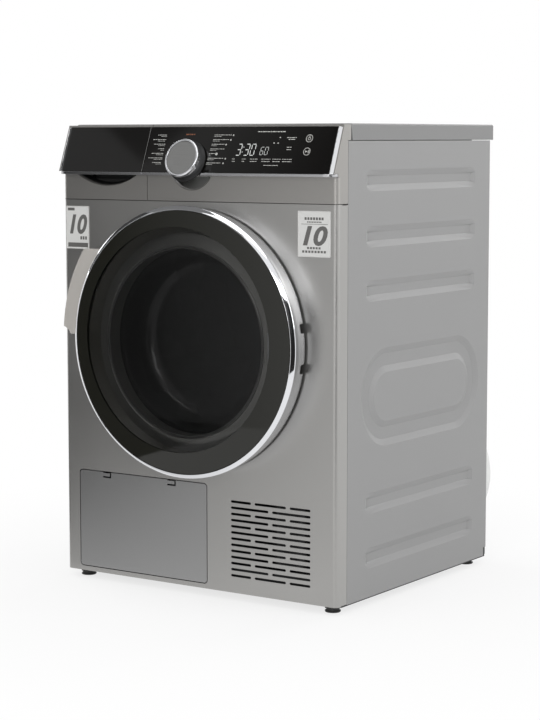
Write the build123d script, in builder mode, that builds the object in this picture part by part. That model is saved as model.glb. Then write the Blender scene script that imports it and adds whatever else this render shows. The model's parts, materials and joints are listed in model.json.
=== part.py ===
from build123d import *
import math
import os

# A front-loading clothes dryer of the 600 mm class, with a heat pump in its base, built as an assembly.
#
# Frame: millimetres, +Z up, the front faces -Y and +X is to the right seen from the front. The origin is
# on the floor, below the middle of the dryer's box. Depths in the sketches are measured from the plane of
# the front panel (front_y), so a minus depth is in front of it.

os.makedirs("parts", exist_ok=True)

# ---------------------------------------------------------------- driving sizes: cabinet
width = 600.0
height = 845.0
body_depth = 557.0        # front panel to the back edge of the top cover
half = width / 2
door_proud = 50.0         # front panel to the crown of the door glass
fan_cover_proud = 20.0    # back edge of the top cover to the back of the fan cover
sheet = 1.2               # cabinet steel
seam = 1.0                # visible joint between two panels
fit = 0.3                 # gap between neighbouring faces of separate pieces
run_fit = 0.05            # radial clearance of a pin in its bore
foot_height = 12.0        # floor to the underside of the base tray
tray_shows = 2.5          # how far the base tray hangs below the panels
corner_r = 9.0            # vertical corners of the front
return_depth = 31.7       # how far the front wraps round onto the sides
side_back = body_depth - 15.5       # depth of the back edge of the side panels
console_bottom = height - 136.0     # bottom edge of the console strip
front_top = console_bottom - 1.2    # top edge of the front panel
cover_bottom = height - 28.6        # bottom edge of the top cover
cover_front = 42.0        # depth of the top cover's front edge
worktop = 16.0            # thickness of the top board

# ---------------------------------------------------------------- driving sizes: side panel pressings
press_depth = 5.0
press_slope = 66.0        # degrees of draft
bar_front = 92.0
bar_length = side_back - bar_front - 57.5
bar_centres = (height - 98.0, height - 195.0, height - 289.5, 181.5, 84.0)
bar_height = 37.0
ring_front = 77.0
ring_length = side_back - ring_front - 38.5
ring_centre_z = (bar_centres[2] + bar_centres[3]) / 2 - 3.0
ring_height = 175.0
ring_band = 44.0          # width of the pressed racetrack

# ---------------------------------------------------------------- driving sizes: door
door_z = height - 384.0
ring_front_r = min(half - 58.0, 0.2864 * height)    # the narrower way decides how large a round door can be
ring_base_r = ring_front_r - 5.0
ring_wall = 3.0
ring_base = -4.5          # depth of the door's back edge
ring_shoulder = -40.0     # depth where the front bevel starts
ring_crown = -46.0
glass_r = ring_front_r - 8.0
glass_t = 4.0
opening_r = ring_front_r - 42.0
mouth_r = ring_front_r - 66.0
bowl_r = ring_front_r - 82.0
bowl_depth = 58.0
bowl_wall = 5.0
handle_r = ring_front_r + 34.0
handle_top_z = door_z + 0.657 * ring_front_r
handle_front = -33.0
handle_back = -9.0
hinge_x = ring_front_r - 17.0
hinge_y = -27.0
hinge_arm_z = 35.0        # each hinge arm above and below the door's middle
pin_r = 3.0
arm_reach = 23.0          # pin to the upright limb of the hinge arm
arm_t = 4.0
arm_h = 12.0

# ---------------------------------------------------------------- driving sizes: service flap and grille
flap_left = -half + 33.0
flap_right = 24.0
flap_bottom = 24.5
flap_top = door_z - ring_front_r - 14.0
flap_gap = 1.5
flap_corner = 6.0
flap_rim = 10.0
latch_slots_x = (flap_left + 63.5, flap_left + 212.5)
grille_left = half - 222.5
grille_width = 168.0
grille_rows = 13
grille_bottom = 46.0
grille_pitch = (flap_top - 25.8 - grille_bottom) / (grille_rows - 1)
slot_h = 0.4 * grille_pitch
long_slot = 66.0
short_slot = 43.0
wide_slot = 80.0
slot_gap = 8.0

# ---------------------------------------------------------------- driving sizes: console
lean = 20.9               # degrees that the control glass leans back
glass_low_y = -15.6       # depth of the glass face at its bottom edge
glass_low_z = console_bottom + 51.0
glass_height = 85.6       # along the slope
panel_glass_t = 3.0
lip_h = 5.0
split_x = -half + 195.5   # left of this the console is the water tank's front
end_wrap = 17.0           # width of the glass's rolled end
end_drop = 5.6
console_top = height - 2.0
rolled_room = 0.5         # between the glass and the moulding behind it
dial_x = split_x + 98.5
dial_z = glass_low_z + 18.0
dial_r = 35.0
dial_proud = 24.0
collar_r = 38.0
dial_stem_r = 4.0
dial_hole_r = 12.0

# ---------------------------------------------------------------- driving sizes: drum and drive
drum_z = door_z + 39.0
drum_r = min(half - 22.0, 0.329 * height)           # and so does the drum
drum_sheet = 1.2
drum_front = 64.0
rear_wall_depth = body_depth - 52.0
rear_wall_t = 1.5
drum_back_depth = rear_wall_depth - 14.0
drum_shaft_r = 12.0
collar_tube_r = drum_r - 6.0
bulkhead_depth = 34.0
bulkhead_t = 3.0
seat_depth = 16.0         # front face of the door seal's seat
motor_x = half - 140.0
motor_z = drum_z - 331.0
motor_r = 58.0
motor_front = 214.0
motor_length = 140.0
shaft_r = 8.0
pulley_r = 12.0
belt_depth = 190.0
belt_w = 14.0
belt_t = 3.0
idler_r = 18.0
roller_r = 25.0
roller_angle = 35.0       # each side of the lowest point of the drum
fan_r = 100.0

# ---------------------------------------------------------------- driving sizes: water tank
tank_left = -half + 12.0
tank_right = split_x - 9.5
tank_floor = console_bottom + 9.0
tank_top = cover_bottom - 10.4
tank_flat = tank_left + 92.0        # where the tank's floor starts to climb over the drum
tank_climb = tank_floor + 56.0
tank_back = body_depth - 137.0
guide_wall = 2.5
guide_gap = 0.6
guide_lap = 12.0          # how far the guide runs on behind the tank

# ---------------------------------------------------------------- driving sizes: base
tray_floor = 16.0
tray_wall = 4.0
tray_wall_top = 60.0
bay_left = flap_left + 5.0
bay_right = flap_right - 2.0
bay_wall = 3.0
duct_t = 3.0
bay_top = flap_top - 15.0
bay_back = body_depth - 87.0
coil_inset = 6.0          # coil to the side walls of its channel
filter_depth = 92.0
filter_t = 18.0
evaporator_depth = 130.0
evaporator_t = 95.0
condenser_depth = 255.0
condenser_t = 130.0
compressor_x = half - 135.0
compressor_y = 98.0
compressor_r = 62.0
compressor_top = bay_top + 8.0
pump_x = 80.0
pump_size = (60.0, 70.0, 55.0)
foot_r = 14.0
foot_inset = 27.0
stem_r = 5.0

# ---------------------------------------------------------------- worked out once
inner_half = half - sheet
tray_half = inner_half - fit
front_y = -(door_proud + body_depth + fan_cover_proud) / 2 + door_proud
panel_bottom = foot_height + tray_shows
side_front = return_depth + seam
side_top = cover_bottom - seam
motor_back = motor_front + motor_length
drum_inner = drum_r - drum_sheet


def depth(y):
    """World y of a depth measured from the front panel."""
    return front_y + y


def facing(y):
    """Upright plane at a depth, seen from the front. extrude(amount=-t) goes back from it."""
    return Plane.XZ.offset(-depth(y))


def turning(z, x=0.0):
    """Level plane through a front-to-back axis: local x is the radius and local y the depth."""
    return Plane(origin=(x, front_y, z), x_dir=(1, 0, 0), z_dir=(0, 0, 1))


def depth_axis(z, x=0.0):
    return Axis((x, front_y, z), (0, 1, 0))


def block(x0, x1, y0, y1, z0, z1, mode=Mode.ADD):
    """A box between two corners, with its depths measured from the front panel."""
    with Locations(((x0 + x1) / 2, depth((y0 + y1) / 2), (z0 + z1) / 2)):
        Box(x1 - x0, y1 - y0, z1 - z0, mode=mode)


def rod(x, z, y0, y1, radius, mode=Mode.ADD):
    """A round bar from front to back."""
    with Locations(Location((x, depth((y0 + y1) / 2), z), (90, 0, 0))):
        Cylinder(radius, y1 - y0, mode=mode)


def post(x, y, z0, z1, radius, mode=Mode.ADD):
    """An upright round bar."""
    with Locations((x, depth(y), (z0 + z1) / 2)):
        Cylinder(radius, z1 - z0, mode=mode)


def save(builder, name):
    builder.part.label = name
    export_step(builder.part, "parts/" + name + ".step")


# ================================================================ base
foot_x = half - foot_inset
foot_depths = (foot_inset + 3.0, side_back - foot_inset - 3.0)
foot_places = [(sx * foot_x, y) for y in foot_depths for sx in (-1, 1)]
foot_names = ("foot_front_left", "foot_front_right", "foot_rear_left", "foot_rear_right")
tray_front = 18.0
tray_back = side_back - sheet - fit

with BuildPart() as base_tray:
    block(-tray_half, tray_half, tray_front, tray_back, foot_height, tray_wall_top)
    block(-tray_half + tray_wall, tray_half - tray_wall, tray_front + tray_wall, tray_back - tray_wall,
          tray_floor, tray_wall_top, Mode.SUBTRACT)
    # the opening behind the flap goes right through the front wall
    block(bay_left, bay_right, tray_front, tray_front + tray_wall, tray_floor, tray_wall_top, Mode.SUBTRACT)
    # side walls of the air channel that holds the two coils
    block(bay_left - bay_wall, bay_left, tray_front, bay_back, tray_floor, bay_top)
    block(bay_right, bay_right + bay_wall, tray_front, bay_back, tray_floor, bay_top)
    for x, y in foot_places:
        post(x, y, tray_floor, tray_floor + 24, stem_r + 6)
    for x, y in foot_places:
        post(x, y, foot_height, tray_floor + 20, stem_r + run_fit, Mode.SUBTRACT)
save(base_tray, "base_tray")

for (x, y), name in zip(foot_places, foot_names):
    with BuildPart() as foot:
        post(x, y, 0, foot_height - fit, foot_r)
        fillet(foot.edges().group_by(Axis.Z)[0], 1.5)
        post(x, y, foot_height - fit, tray_floor + 19, stem_r)
        # hexagon for a spanner
        with BuildSketch(Plane.XY.offset(3.0)) as hexagon:
            with Locations((x, depth(y))):
                Circle(foot_r + 1)
                RegularPolygon(foot_r - 1.5, 6, mode=Mode.SUBTRACT)
        extrude(amount=4.0, mode=Mode.SUBTRACT)
    save(foot, name)

# ================================================================ cabinet panels


def pressed_shape(grow):
    """The outlines pressed into a side panel, in depth and height, grown by an offset."""
    with BuildSketch() as shapes:
        for z in bar_centres:
            with Locations((depth(bar_front + bar_length / 2), z)):
                RectangleRounded(bar_length + 2 * grow, bar_height + 2 * grow, 9 + grow)
        with Locations((depth(ring_front + ring_length / 2), ring_centre_z)):
            SlotOverall(ring_length + 2 * grow, ring_height + 2 * grow)
            SlotOverall(ring_length - 2 * ring_band - 2 * grow, ring_height - 2 * ring_band - 2 * grow,
                        mode=Mode.SUBTRACT)
    return shapes.sketch


def side_panel(side):
    """A sheet with its pressings pushed inwards. side is -1 on the left and 1 on the right."""
    outside = Plane(origin=(side * half, 0, 0), x_dir=(0, 1, 0), z_dir=(1, 0, 0))
    inside = Plane(origin=(side * inner_half, 0, 0), x_dir=(0, 1, 0), z_dir=(1, 0, 0))
    with BuildPart() as panel:
        x0, x1 = sorted((side * half, side * inner_half))
        block(x0, x1, side_front, side_back, panel_bottom, side_top)
        for face in (inside * pressed_shape(0)).faces():
            extrude(face, amount=-side * press_depth, taper=press_slope)
        for face in (outside * pressed_shape(0)).faces():
            extrude(face, amount=-side * press_depth, taper=press_slope, mode=Mode.SUBTRACT)
        # notch at the lower back corner
        block(min(x0, x1), max(x0, x1), side_back - 10, side_back, panel_bottom, panel_bottom + 16,
              Mode.SUBTRACT)
    return panel


save(side_panel(-1), "side_panel_left")
save(side_panel(1), "side_panel_right")

fan_cover_r = 134.0
fan_cover_wall = 2.0
fan_cover_lap = 12.0
fan_cover_back = body_depth + fan_cover_proud
cord_x = -half + 70.0
cord_z = console_bottom + 31.0
cord_r = 11.0

with BuildPart() as back_panel:
    block(-inner_half, inner_half, side_back - sheet, side_back, panel_bottom + 2, side_top)
    rod(motor_x, motor_z, side_back - sheet, side_back, fan_cover_r - fan_cover_lap, Mode.SUBTRACT)
    # round louvres beside the drum's bearing
    with BuildSketch(facing(side_back)):
        with Locations((0, drum_z)):
            with PolarLocations(110, 12):
                SlotOverall(46, 8)
    extrude(amount=sheet, mode=Mode.SUBTRACT)
    rod(cord_x, cord_z, side_back - sheet, side_back, cord_r, Mode.SUBTRACT)
save(back_panel, "back_panel")

with BuildPart() as fan_cover:
    rod(motor_x, motor_z, side_back, fan_cover_back, fan_cover_r)
    fillet(fan_cover.faces().sort_by(Axis.Y)[-1].edges(), 9)
    offset(amount=-fan_cover_wall, openings=fan_cover.faces().sort_by(Axis.Y)[0])
save(fan_cover, "fan_cover")


def front_profile(inset):
    """Plan of the front, wrapped round onto the sides, open at the back."""
    with BuildSketch() as plan:
        with Locations((0, depth(return_depth / 2 + inset / 2))):
            Rectangle(width - 2 * inset, return_depth - inset)
        fillet(plan.vertices().group_by(Axis.Y)[0], corner_r - inset)
    return plan.sketch


opening_z0 = flap_bottom - flap_gap
opening_z1 = flap_top + flap_gap

with BuildPart() as front_panel:
    extrude(Plane.XY.offset(panel_bottom) * front_profile(0), amount=front_top - panel_bottom)
    extrude(Plane.XY.offset(panel_bottom + sheet) * front_profile(sheet),
            amount=front_top - panel_bottom - 2 * sheet, mode=Mode.SUBTRACT)
    # the bottom and the top edge are folded back as narrow flanges
    block(-half, half, 14, return_depth, panel_bottom, panel_bottom + sheet, Mode.SUBTRACT)
    block(-half, half, 14, return_depth, front_top - sheet, front_top, Mode.SUBTRACT)
    # the door opening, with its edge rolled back
    rod(0, door_z, 0, 12, opening_r + sheet)
    rod(0, door_z, 0, 12, opening_r, Mode.SUBTRACT)
    with BuildSketch(facing(0)):
        with Locations(((flap_left + flap_right) / 2, (opening_z0 + opening_z1) / 2)):
            RectangleRounded(flap_right - flap_left + 2 * flap_gap, opening_z1 - opening_z0,
                             flap_corner + flap_gap)
    extrude(amount=-sheet, mode=Mode.SUBTRACT)
    # rows of cooling slots, wide in the middle and at the ends by turns
    with BuildSketch(facing(0)):
        for row in range(grille_rows):
            z = grille_bottom + row * grille_pitch
            middle = grille_left + grille_width / 2
            if row % 2 == 0:
                shift = long_slot / 2 + slot_gap + short_slot / 2
                with Locations((middle, z)):
                    SlotOverall(long_slot, slot_h)
                with Locations((middle - shift, z), (middle + shift, z)):
                    SlotOverall(short_slot, slot_h)
            else:
                shift = (wide_slot + slot_gap) / 2
                with Locations((middle - shift, z), (middle + shift, z)):
                    SlotOverall(wide_slot, slot_h)
    extrude(amount=-sheet, mode=Mode.SUBTRACT)
    # slots that the two hinge arms pass through
    for side in (-1, 1):
        x = hinge_x - arm_reach
        z = door_z + side * hinge_arm_z
        block(x - arm_t / 2 - fit, x + arm_t / 2 + fit, 0, sheet, z - arm_h / 2 - fit, z + arm_h / 2 + fit,
              Mode.SUBTRACT)
save(front_panel, "front_panel")

# ================================================================ front bulkhead, filter and seals
filter_half = 80.0
filter_front = 40.0
filter_back = 58.0
filter_low = bay_top + 10.0
filter_ledge = 3.0
pocket_wall = 2.5
pocket_low = bay_top + duct_t + fit
seat_r = opening_r + 6.0
plate_top_left = front_top - 1.8
plate_top = console_bottom + 81.0
plate_step = split_x + 4.5
plate_bottom = bay_top + 25.0
hook_x = 49.0 - ring_front_r
lock_z = door_z
seal_r = mouth_r + 11.5
roller_orbit = drum_r + fit + roller_r
roller_x = roller_orbit * math.sin(math.radians(roller_angle))
roller_z = drum_z - roller_orbit * math.cos(math.radians(roller_angle))
roller_pin_r = 6.0
roller_front = 84.0
roller_w = 18.0

with BuildPart() as front_bulkhead:
    with BuildSketch(facing(bulkhead_depth)):
        with BuildLine():
            Polyline((-tray_half, plate_bottom), (tray_half, plate_bottom), (tray_half, plate_top),
                     (plate_step, plate_top), (plate_step, plate_top_left), (-tray_half, plate_top_left),
                     close=True)
        make_face()
    extrude(amount=-bulkhead_t)
    # the tube that the drum's front edge runs round
    rod(0, drum_z, bulkhead_depth, drum_front + 12, collar_tube_r)
    rod(0, drum_z, bulkhead_depth + bulkhead_t, drum_front + 12, collar_tube_r - bulkhead_t, Mode.SUBTRACT)
    # the mouth, from the door seal to the drum
    rod(0, door_z, seat_depth, drum_front, mouth_r + bulkhead_t)
    rod(0, door_z, seat_depth, seat_depth + bulkhead_t, seat_r)
    block(-filter_half - pocket_wall, filter_half + pocket_wall, bulkhead_depth, filter_back + pocket_wall,
          pocket_low, door_z - 130)
    rod(0, door_z, seat_depth, drum_front, mouth_r, Mode.SUBTRACT)
    block(-filter_half - fit, filter_half + fit, filter_front - fit, filter_back + fit,
          filter_low, door_z - 100, Mode.SUBTRACT)
    block(-filter_half + filter_ledge, filter_half - filter_ledge, filter_front + filter_ledge,
          filter_back - filter_ledge, pocket_low, filter_low, Mode.SUBTRACT)
    # the hole that the door's hook goes into
    block(hook_x - 6, hook_x + 6, seat_depth, seat_depth + bulkhead_t, lock_z - 14, lock_z + 14, Mode.SUBTRACT)
    for side in (-1, 1):
        rod(side * roller_x, roller_z, bulkhead_depth + bulkhead_t, roller_front + roller_w + 3, roller_pin_r)
        rod(side * roller_x, roller_z, bulkhead_depth + bulkhead_t, roller_front - 2, roller_pin_r + 5)
save(front_bulkhead, "front_bulkhead")

with BuildPart() as door_seal:
    with BuildSketch(turning(door_z)):
        with BuildLine():
            Polyline((mouth_r + 1, seat_depth), (seal_r, seat_depth), (seal_r, 10), (seal_r - 3, 6),
                     (mouth_r + 4, 6), (mouth_r + 1, 10), close=True)
        make_face()
    revolve(axis=depth_axis(door_z))
save(door_seal, "door_seal")

with BuildPart() as drum_felts:
    rod(0, drum_z, drum_front + 1, drum_front + 11, drum_inner - fit)
    rod(0, drum_z, drum_front + 1, drum_front + 11, collar_tube_r, Mode.SUBTRACT)
    rod(0, drum_z, drum_back_depth + fit, rear_wall_depth, drum_inner - 6)
    rod(0, drum_z, drum_back_depth + fit, rear_wall_depth, drum_inner - 20, Mode.SUBTRACT)
save(drum_felts, "drum_felts")

with BuildPart() as lint_filter:
    block(-filter_half, filter_half, filter_front, filter_back, filter_low, door_z - 140)
    rod(0, door_z, filter_front, filter_back, mouth_r, Mode.SUBTRACT)
    # the cassette is a hollow frame, open below, with its mesh windows front and back
    block(-filter_half + 4, filter_half - 4, filter_front + 3, filter_back - 3, filter_low, filter_low + 62,
          Mode.SUBTRACT)
    for column in range(4):
        x = -filter_half + 22 + column * 38
        block(x - 15, x + 15, filter_front, filter_back, filter_low + 10, filter_low + 54, Mode.SUBTRACT)
    # finger slot in the top
    block(-30, 30, filter_front + 5, filter_back - 5, filter_low + 66, door_z - 150, Mode.SUBTRACT)
save(lint_filter, "lint_filter")

with BuildPart() as moisture_sensor:
    for z in (-12, 12):
        with BuildSketch(turning(door_z + z)):
            with Locations((mouth_r - 2.5, bulkhead_depth + 8)):
                RectangleRounded(5, 26, 1)
        extrude(amount=6)
    rod(0, door_z, seat_depth, drum_front, mouth_r - fit, Mode.INTERSECT)
save(moisture_sensor, "moisture_sensor")

# ================================================================ rear wall, bearing
cover_ceiling = height - worktop
with BuildPart() as rear_wall:
    block(-tray_half, tray_half, rear_wall_depth, rear_wall_depth + rear_wall_t, tray_floor, side_top - 10)
    block(-half + 20, half - 20, rear_wall_depth, rear_wall_depth + rear_wall_t, side_top - 10, cover_ceiling)
    with BuildSketch(facing(rear_wall_depth)):
        with Locations((0, drum_z)):
            with PolarLocations(150, 10):
                Circle(26)
        with Locations(((bay_left + bay_right) / 2, (tray_floor + bay_top) / 2)):
            RectangleRounded(bay_right - bay_left - 20, bay_top - tray_floor - 20, 12)
    extrude(amount=-rear_wall_t, mode=Mode.SUBTRACT)
    # bearing boss for the drum's shaft
    rod(0, drum_z, rear_wall_depth - 3, rear_wall_depth, 45)
    rod(0, drum_z, drum_back_depth + 3, rear_wall_depth, 26)
    rod(0, drum_z, drum_back_depth + 3, rear_wall_depth + rear_wall_t, drum_shaft_r + run_fit, Mode.SUBTRACT)
    rod(motor_x, motor_z, rear_wall_depth, rear_wall_depth + rear_wall_t, shaft_r + 12, Mode.SUBTRACT)
    # the tray's upright walls and bearers pass in front, so the wall is notched over the tray's rim
    block(-tray_half, -tray_half + tray_wall + fit, rear_wall_depth, rear_wall_depth + rear_wall_t,
          tray_floor, tray_wall_top + fit, Mode.SUBTRACT)
    block(tray_half - tray_wall - fit, tray_half, rear_wall_depth, rear_wall_depth + rear_wall_t,
          tray_floor, tray_wall_top + fit, Mode.SUBTRACT)
    for x, y in foot_places[2:]:
        post(x, y, tray_floor, tray_floor + 24 + fit, stem_r + 6 + fit, Mode.SUBTRACT)
save(rear_wall, "rear_wall")

# ================================================================ drum
with BuildPart() as drum_shell:
    rod(0, drum_z, drum_front, drum_back_depth, drum_r)
    rod(0, drum_z, drum_front, drum_back_depth, drum_inner, Mode.SUBTRACT)
save(drum_shell, "drum_shell")

with BuildPart() as drum_back:
    rod(0, drum_z, drum_back_depth - drum_sheet, drum_back_depth, drum_inner)
    with BuildSketch(facing(drum_back_depth)):
        with Locations((0, drum_z)):
            for ring in range(4):
                with PolarLocations(115 + 22 * ring, 24, start_angle=7.5 * (ring % 2)):
                    Circle(4)
    extrude(amount=drum_sheet, mode=Mode.SUBTRACT)
    rod(0, drum_z, drum_back_depth - drum_sheet - 6, drum_back_depth - drum_sheet, 60)
    rod(0, drum_z, drum_back_depth, rear_wall_depth + rear_wall_t + 10, drum_shaft_r)
save(drum_back, "drum_back")

lifter_seat = math.sqrt(drum_inner**2 - 35**2) - 0.2
with BuildPart() as drum_lifters:
    with BuildSketch(facing(drum_front + 26)):
        with Locations((0, drum_z)):
            with PolarLocations(0, 3, start_angle=90):
                Polygon((lifter_seat, -35), (lifter_seat, 35), (lifter_seat - 34, 14), (lifter_seat - 40, 0),
                        (lifter_seat - 34, -14), align=None)
    extrude(amount=-(drum_back_depth - drum_front - 50))
save(drum_lifters, "drum_lifters")

for side, name in ((-1, "drum_roller_left"), (1, "drum_roller_right")):
    with BuildPart() as roller:
        rod(side * roller_x, roller_z, roller_front, roller_front + roller_w, roller_r)
        rod(side * roller_x, roller_z, roller_front, roller_front + 4, roller_r - 5, Mode.SUBTRACT)
        rod(side * roller_x, roller_z, roller_front, roller_front + 4, roller_pin_r + 5)
        rod(side * roller_x, roller_z, roller_front, roller_front + roller_w, roller_pin_r + run_fit, Mode.SUBTRACT)
    save(roller, name)

# ================================================================ belt drive
# tangent directions of an open belt round the drum and the motor pulley
centre_distance = math.hypot(motor_x, motor_z - drum_z)
line_angle = math.atan2(motor_z - drum_z, motor_x)
spread = math.acos((drum_r - pulley_r) / centre_distance)
slack_angle = line_angle - spread
slack_normal = (math.cos(slack_angle), math.sin(slack_angle))


def belt_band(radius_gain):
    """Outline of the belt's inner or outer face, seen from the front."""
    with BuildSketch(facing(belt_depth - belt_w / 2)) as band:
        with Locations((0, drum_z)):
            Circle(drum_r + radius_gain)
        with Locations((motor_x, motor_z)):
            Circle(pulley_r + radius_gain)
        make_hull()
    return band.sketch


with BuildPart() as drum_belt:
    extrude(belt_band(fit + belt_t), amount=-belt_w)
    extrude(belt_band(fit), amount=-belt_w, mode=Mode.SUBTRACT)
save(drum_belt, "drum_belt")

bracket_t = 4.0
bracket_front = motor_front - bracket_t
bracket_half = 68.0
pivot_x = motor_x - 45.0
pivot_z = tray_floor + 66.0
pivot_r = 5.0
arm_front = belt_depth + belt_w / 2 + 6

with BuildPart() as motor_bracket:
    block(motor_x - bracket_half, motor_x + bracket_half, bracket_front, motor_front, tray_floor, motor_z + 40)
    block(motor_x - bracket_half, motor_x + bracket_half, bracket_front, motor_back - 10, tray_floor, tray_floor + 4)
    block(motor_x - 30, motor_x + 30, motor_back - 34, motor_back - 10, tray_floor, motor_z - motor_r + 16)
    rod(motor_x, motor_z, motor_back - 34, motor_back - 10, motor_r + fit, Mode.SUBTRACT)
    rod(motor_x, motor_z, bracket_front, motor_front, shaft_r + 6, Mode.SUBTRACT)
    rod(pivot_x, pivot_z, arm_front - 4, bracket_front, pivot_r)
save(motor_bracket, "motor_bracket")

with BuildPart() as motor_housing:
    rod(motor_x, motor_z, motor_front, motor_back, motor_r)
    fillet(motor_housing.edges().group_by(Axis.Y)[-1], 8)
    with BuildSketch(facing(motor_front + 24)):
        with Locations((motor_x, motor_z)):
            with PolarLocations(motor_r, 12):
                Rectangle(5, 9)
    extrude(amount=-(motor_length - 60), mode=Mode.SUBTRACT)
    rod(motor_x, motor_z, motor_front, motor_back, shaft_r + run_fit, Mode.SUBTRACT)
save(motor_housing, "motor_housing")

fan_front = rear_wall_depth + rear_wall_t + 9
fan_depth = 44.0
with BuildPart() as motor_shaft:
    rod(motor_x, motor_z, belt_depth - 20, fan_front + fan_depth + 4, shaft_r)
    rod(motor_x, motor_z, belt_depth - belt_w / 2 - 2, belt_depth + belt_w / 2 + 2, pulley_r)
    for y in (belt_depth - belt_w / 2 - 4, belt_depth + belt_w / 2 + 2):
        rod(motor_x, motor_z, y, y + 2, pulley_r + 4)
save(motor_shaft, "motor_shaft")

with BuildPart() as process_fan:
    rod(motor_x, motor_z, fan_front, fan_front + 3, fan_r)
    rod(motor_x, motor_z, fan_front, fan_front + fan_depth, shaft_r + 7)
    with BuildSketch(facing(fan_front + 3)):
        with Locations((motor_x, motor_z)):
            with PolarLocations(fan_r - 14, 16):
                Rectangle(26, 3, rotation=35)
    extrude(amount=-(fan_depth - 3))
    rod(motor_x, motor_z, fan_front, fan_front + fan_depth, shaft_r, Mode.SUBTRACT)
save(process_fan, "process_fan")

# the idler presses the slack side of the belt from outside
span_start = (motor_x + (pulley_r + fit) * slack_normal[0], motor_z + (pulley_r + fit) * slack_normal[1])
span_way = (slack_normal[1], -slack_normal[0])
idler_along = 78.0
idler_off = belt_t + fit + idler_r
idler_x = span_start[0] + idler_along * span_way[0] + idler_off * slack_normal[0]
idler_z = span_start[1] + idler_along * span_way[1] + idler_off * slack_normal[1]
idler_pin_r = 4.0
arm_length = math.hypot(idler_x - pivot_x, idler_z - pivot_z)
arm_plane = Plane(origin=(pivot_x, depth(arm_front), pivot_z), x_dir=(idler_x - pivot_x, 0, idler_z - pivot_z),
                  z_dir=(0, -1, 0))

with BuildPart() as idler_arm:
    with BuildSketch(arm_plane):
        Circle(11)
        with Locations((arm_length, 0)):
            Circle(9)
        make_hull()
    extrude(amount=-3)
    rod(pivot_x, pivot_z, arm_front, bracket_front - fit, pivot_r + 3)
    rod(pivot_x, pivot_z, arm_front - 4, bracket_front - fit, pivot_r + run_fit, Mode.SUBTRACT)
    rod(idler_x, idler_z, belt_depth - belt_w / 2 - 4, arm_front, idler_pin_r)
save(idler_arm, "idler_arm")

with BuildPart() as idler_pulley:
    rod(idler_x, idler_z, belt_depth - belt_w / 2 - 2, belt_depth + belt_w / 2 + 2, idler_r)
    rod(idler_x, idler_z, belt_depth - belt_w / 2 - 2, belt_depth + belt_w / 2 + 2, idler_pin_r + run_fit, Mode.SUBTRACT)
save(idler_pulley, "idler_pulley")

# ================================================================ heat pump
shell_foot = tray_floor + 10.0
with BuildPart() as compressor:
    post(compressor_x, compressor_y, shell_foot, compressor_top, compressor_r)
    fillet(compressor.edges().group_by(Axis.Z)[-1], 24)
    fillet(compressor.edges().group_by(Axis.Z)[0], 10)
    with Locations((compressor_x, depth(compressor_y), shell_foot)):
        with PolarLocations(compressor_r + 4, 3, start_angle=90):
            Box(44, 30, 6)
    with Locations((compressor_x, depth(compressor_y), (tray_floor + shell_foot - 3) / 2)):
        with PolarLocations(compressor_r + 12, 3, start_angle=90):
            Cylinder(9, shell_foot - 3 - tray_floor)
    post(compressor_x, compressor_y - 20, compressor_top - 8, compressor_top + 6, 7)
    # the shell is hollow
    post(compressor_x, compressor_y, shell_foot + 4, compressor_top - 26, compressor_r - 10, Mode.SUBTRACT)
save(compressor, "compressor")


def coil(y0, y1, rows, name):
    """A finned coil: end plates, fins and the tube runs through them."""
    x0 = bay_left + coil_inset
    x1 = bay_right - coil_inset
    with BuildPart() as pack:
        block(x0, x0 + 2, y0, y1, tray_floor, bay_top - 4)
        block(x1 - 2, x1, y0, y1, tray_floor, bay_top - 4)
        fins = 26
        for i in range(1, fins):
            x = x0 + i * (x1 - x0) / fins
            block(x - 0.5, x + 0.5, y0 + 2, y1 - 2, tray_floor + 6, bay_top - 8)
        row_pitch = (bay_top - tray_floor - 40) / (rows - 1)
        for row in range(rows):
            z = tray_floor + 22 + row * row_pitch
            for y in (y0 + 22, y1 - 22):
                with Locations(Location(((x0 + x1) / 2, depth(y), z), (0, 90, 0))):
                    Cylinder(0.1866 * row_pitch, x1 - x0)
    save(pack, name)


coil(evaporator_depth, evaporator_depth + evaporator_t, 6, "evaporator_coil")
coil(condenser_depth, condenser_depth + condenser_t, 6, "condenser_coil")

bay_middle = (bay_left + bay_right) / 2
bay_mid_z = (tray_floor + bay_top) / 2
with BuildPart() as exchanger_filter:
    block(bay_left + 1, bay_right - 1, filter_depth, filter_depth + filter_t, tray_floor, bay_top - 1)
    block(bay_left + 13, bay_right - 13, filter_depth, filter_depth + 8, tray_floor + 14, bay_top - 14, Mode.SUBTRACT)
    # pull in the middle
    block(bay_middle - 6, bay_middle + 6, filter_depth - 8, filter_depth + 8, bay_mid_z - 13, bay_mid_z + 29)
save(exchanger_filter, "exchanger_filter")

with BuildPart() as duct_cover:
    block(bay_left - bay_wall, bay_right + bay_wall, tray_front, bay_back, bay_top, bay_top + duct_t)
    block(-filter_half, bay_right - 2, filter_front, filter_back, bay_top, bay_top + duct_t, Mode.SUBTRACT)
save(duct_cover, "duct_cover")

pump_w, pump_d, pump_h = pump_size
pump_y = bay_back - pump_d / 2
pump_top = tray_floor + pump_h
with BuildPart() as condensate_pump:
    block(pump_x - pump_w / 2, pump_x + pump_w / 2, bay_back - pump_d, bay_back, tray_floor, pump_top)
    fillet(condensate_pump.edges().filter_by(Axis.Z), 8)
    post(pump_x, pump_y, pump_top, pump_top + 35, 20)
    with Locations(Location((pump_x + 24, depth(pump_y), pump_top + 23), (0, 90, 0))):
        Cylinder(6, 36)
save(condensate_pump, "condensate_pump")

# ================================================================ console
slope = math.radians(lean)
up_y = math.sin(slope)
up_z = math.cos(slope)
glass_trim = 4.0          # the glass is drawn this much longer at its foot, then cut level
low_end = Plane(origin=(0, depth(glass_low_y) - glass_trim * up_y, glass_low_z - glass_trim * up_z),
                x_dir=(1, 0, 0), z_dir=(0, up_y, up_z))
# seen along the slope: local x is x, local y is the distance behind the glass face


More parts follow.
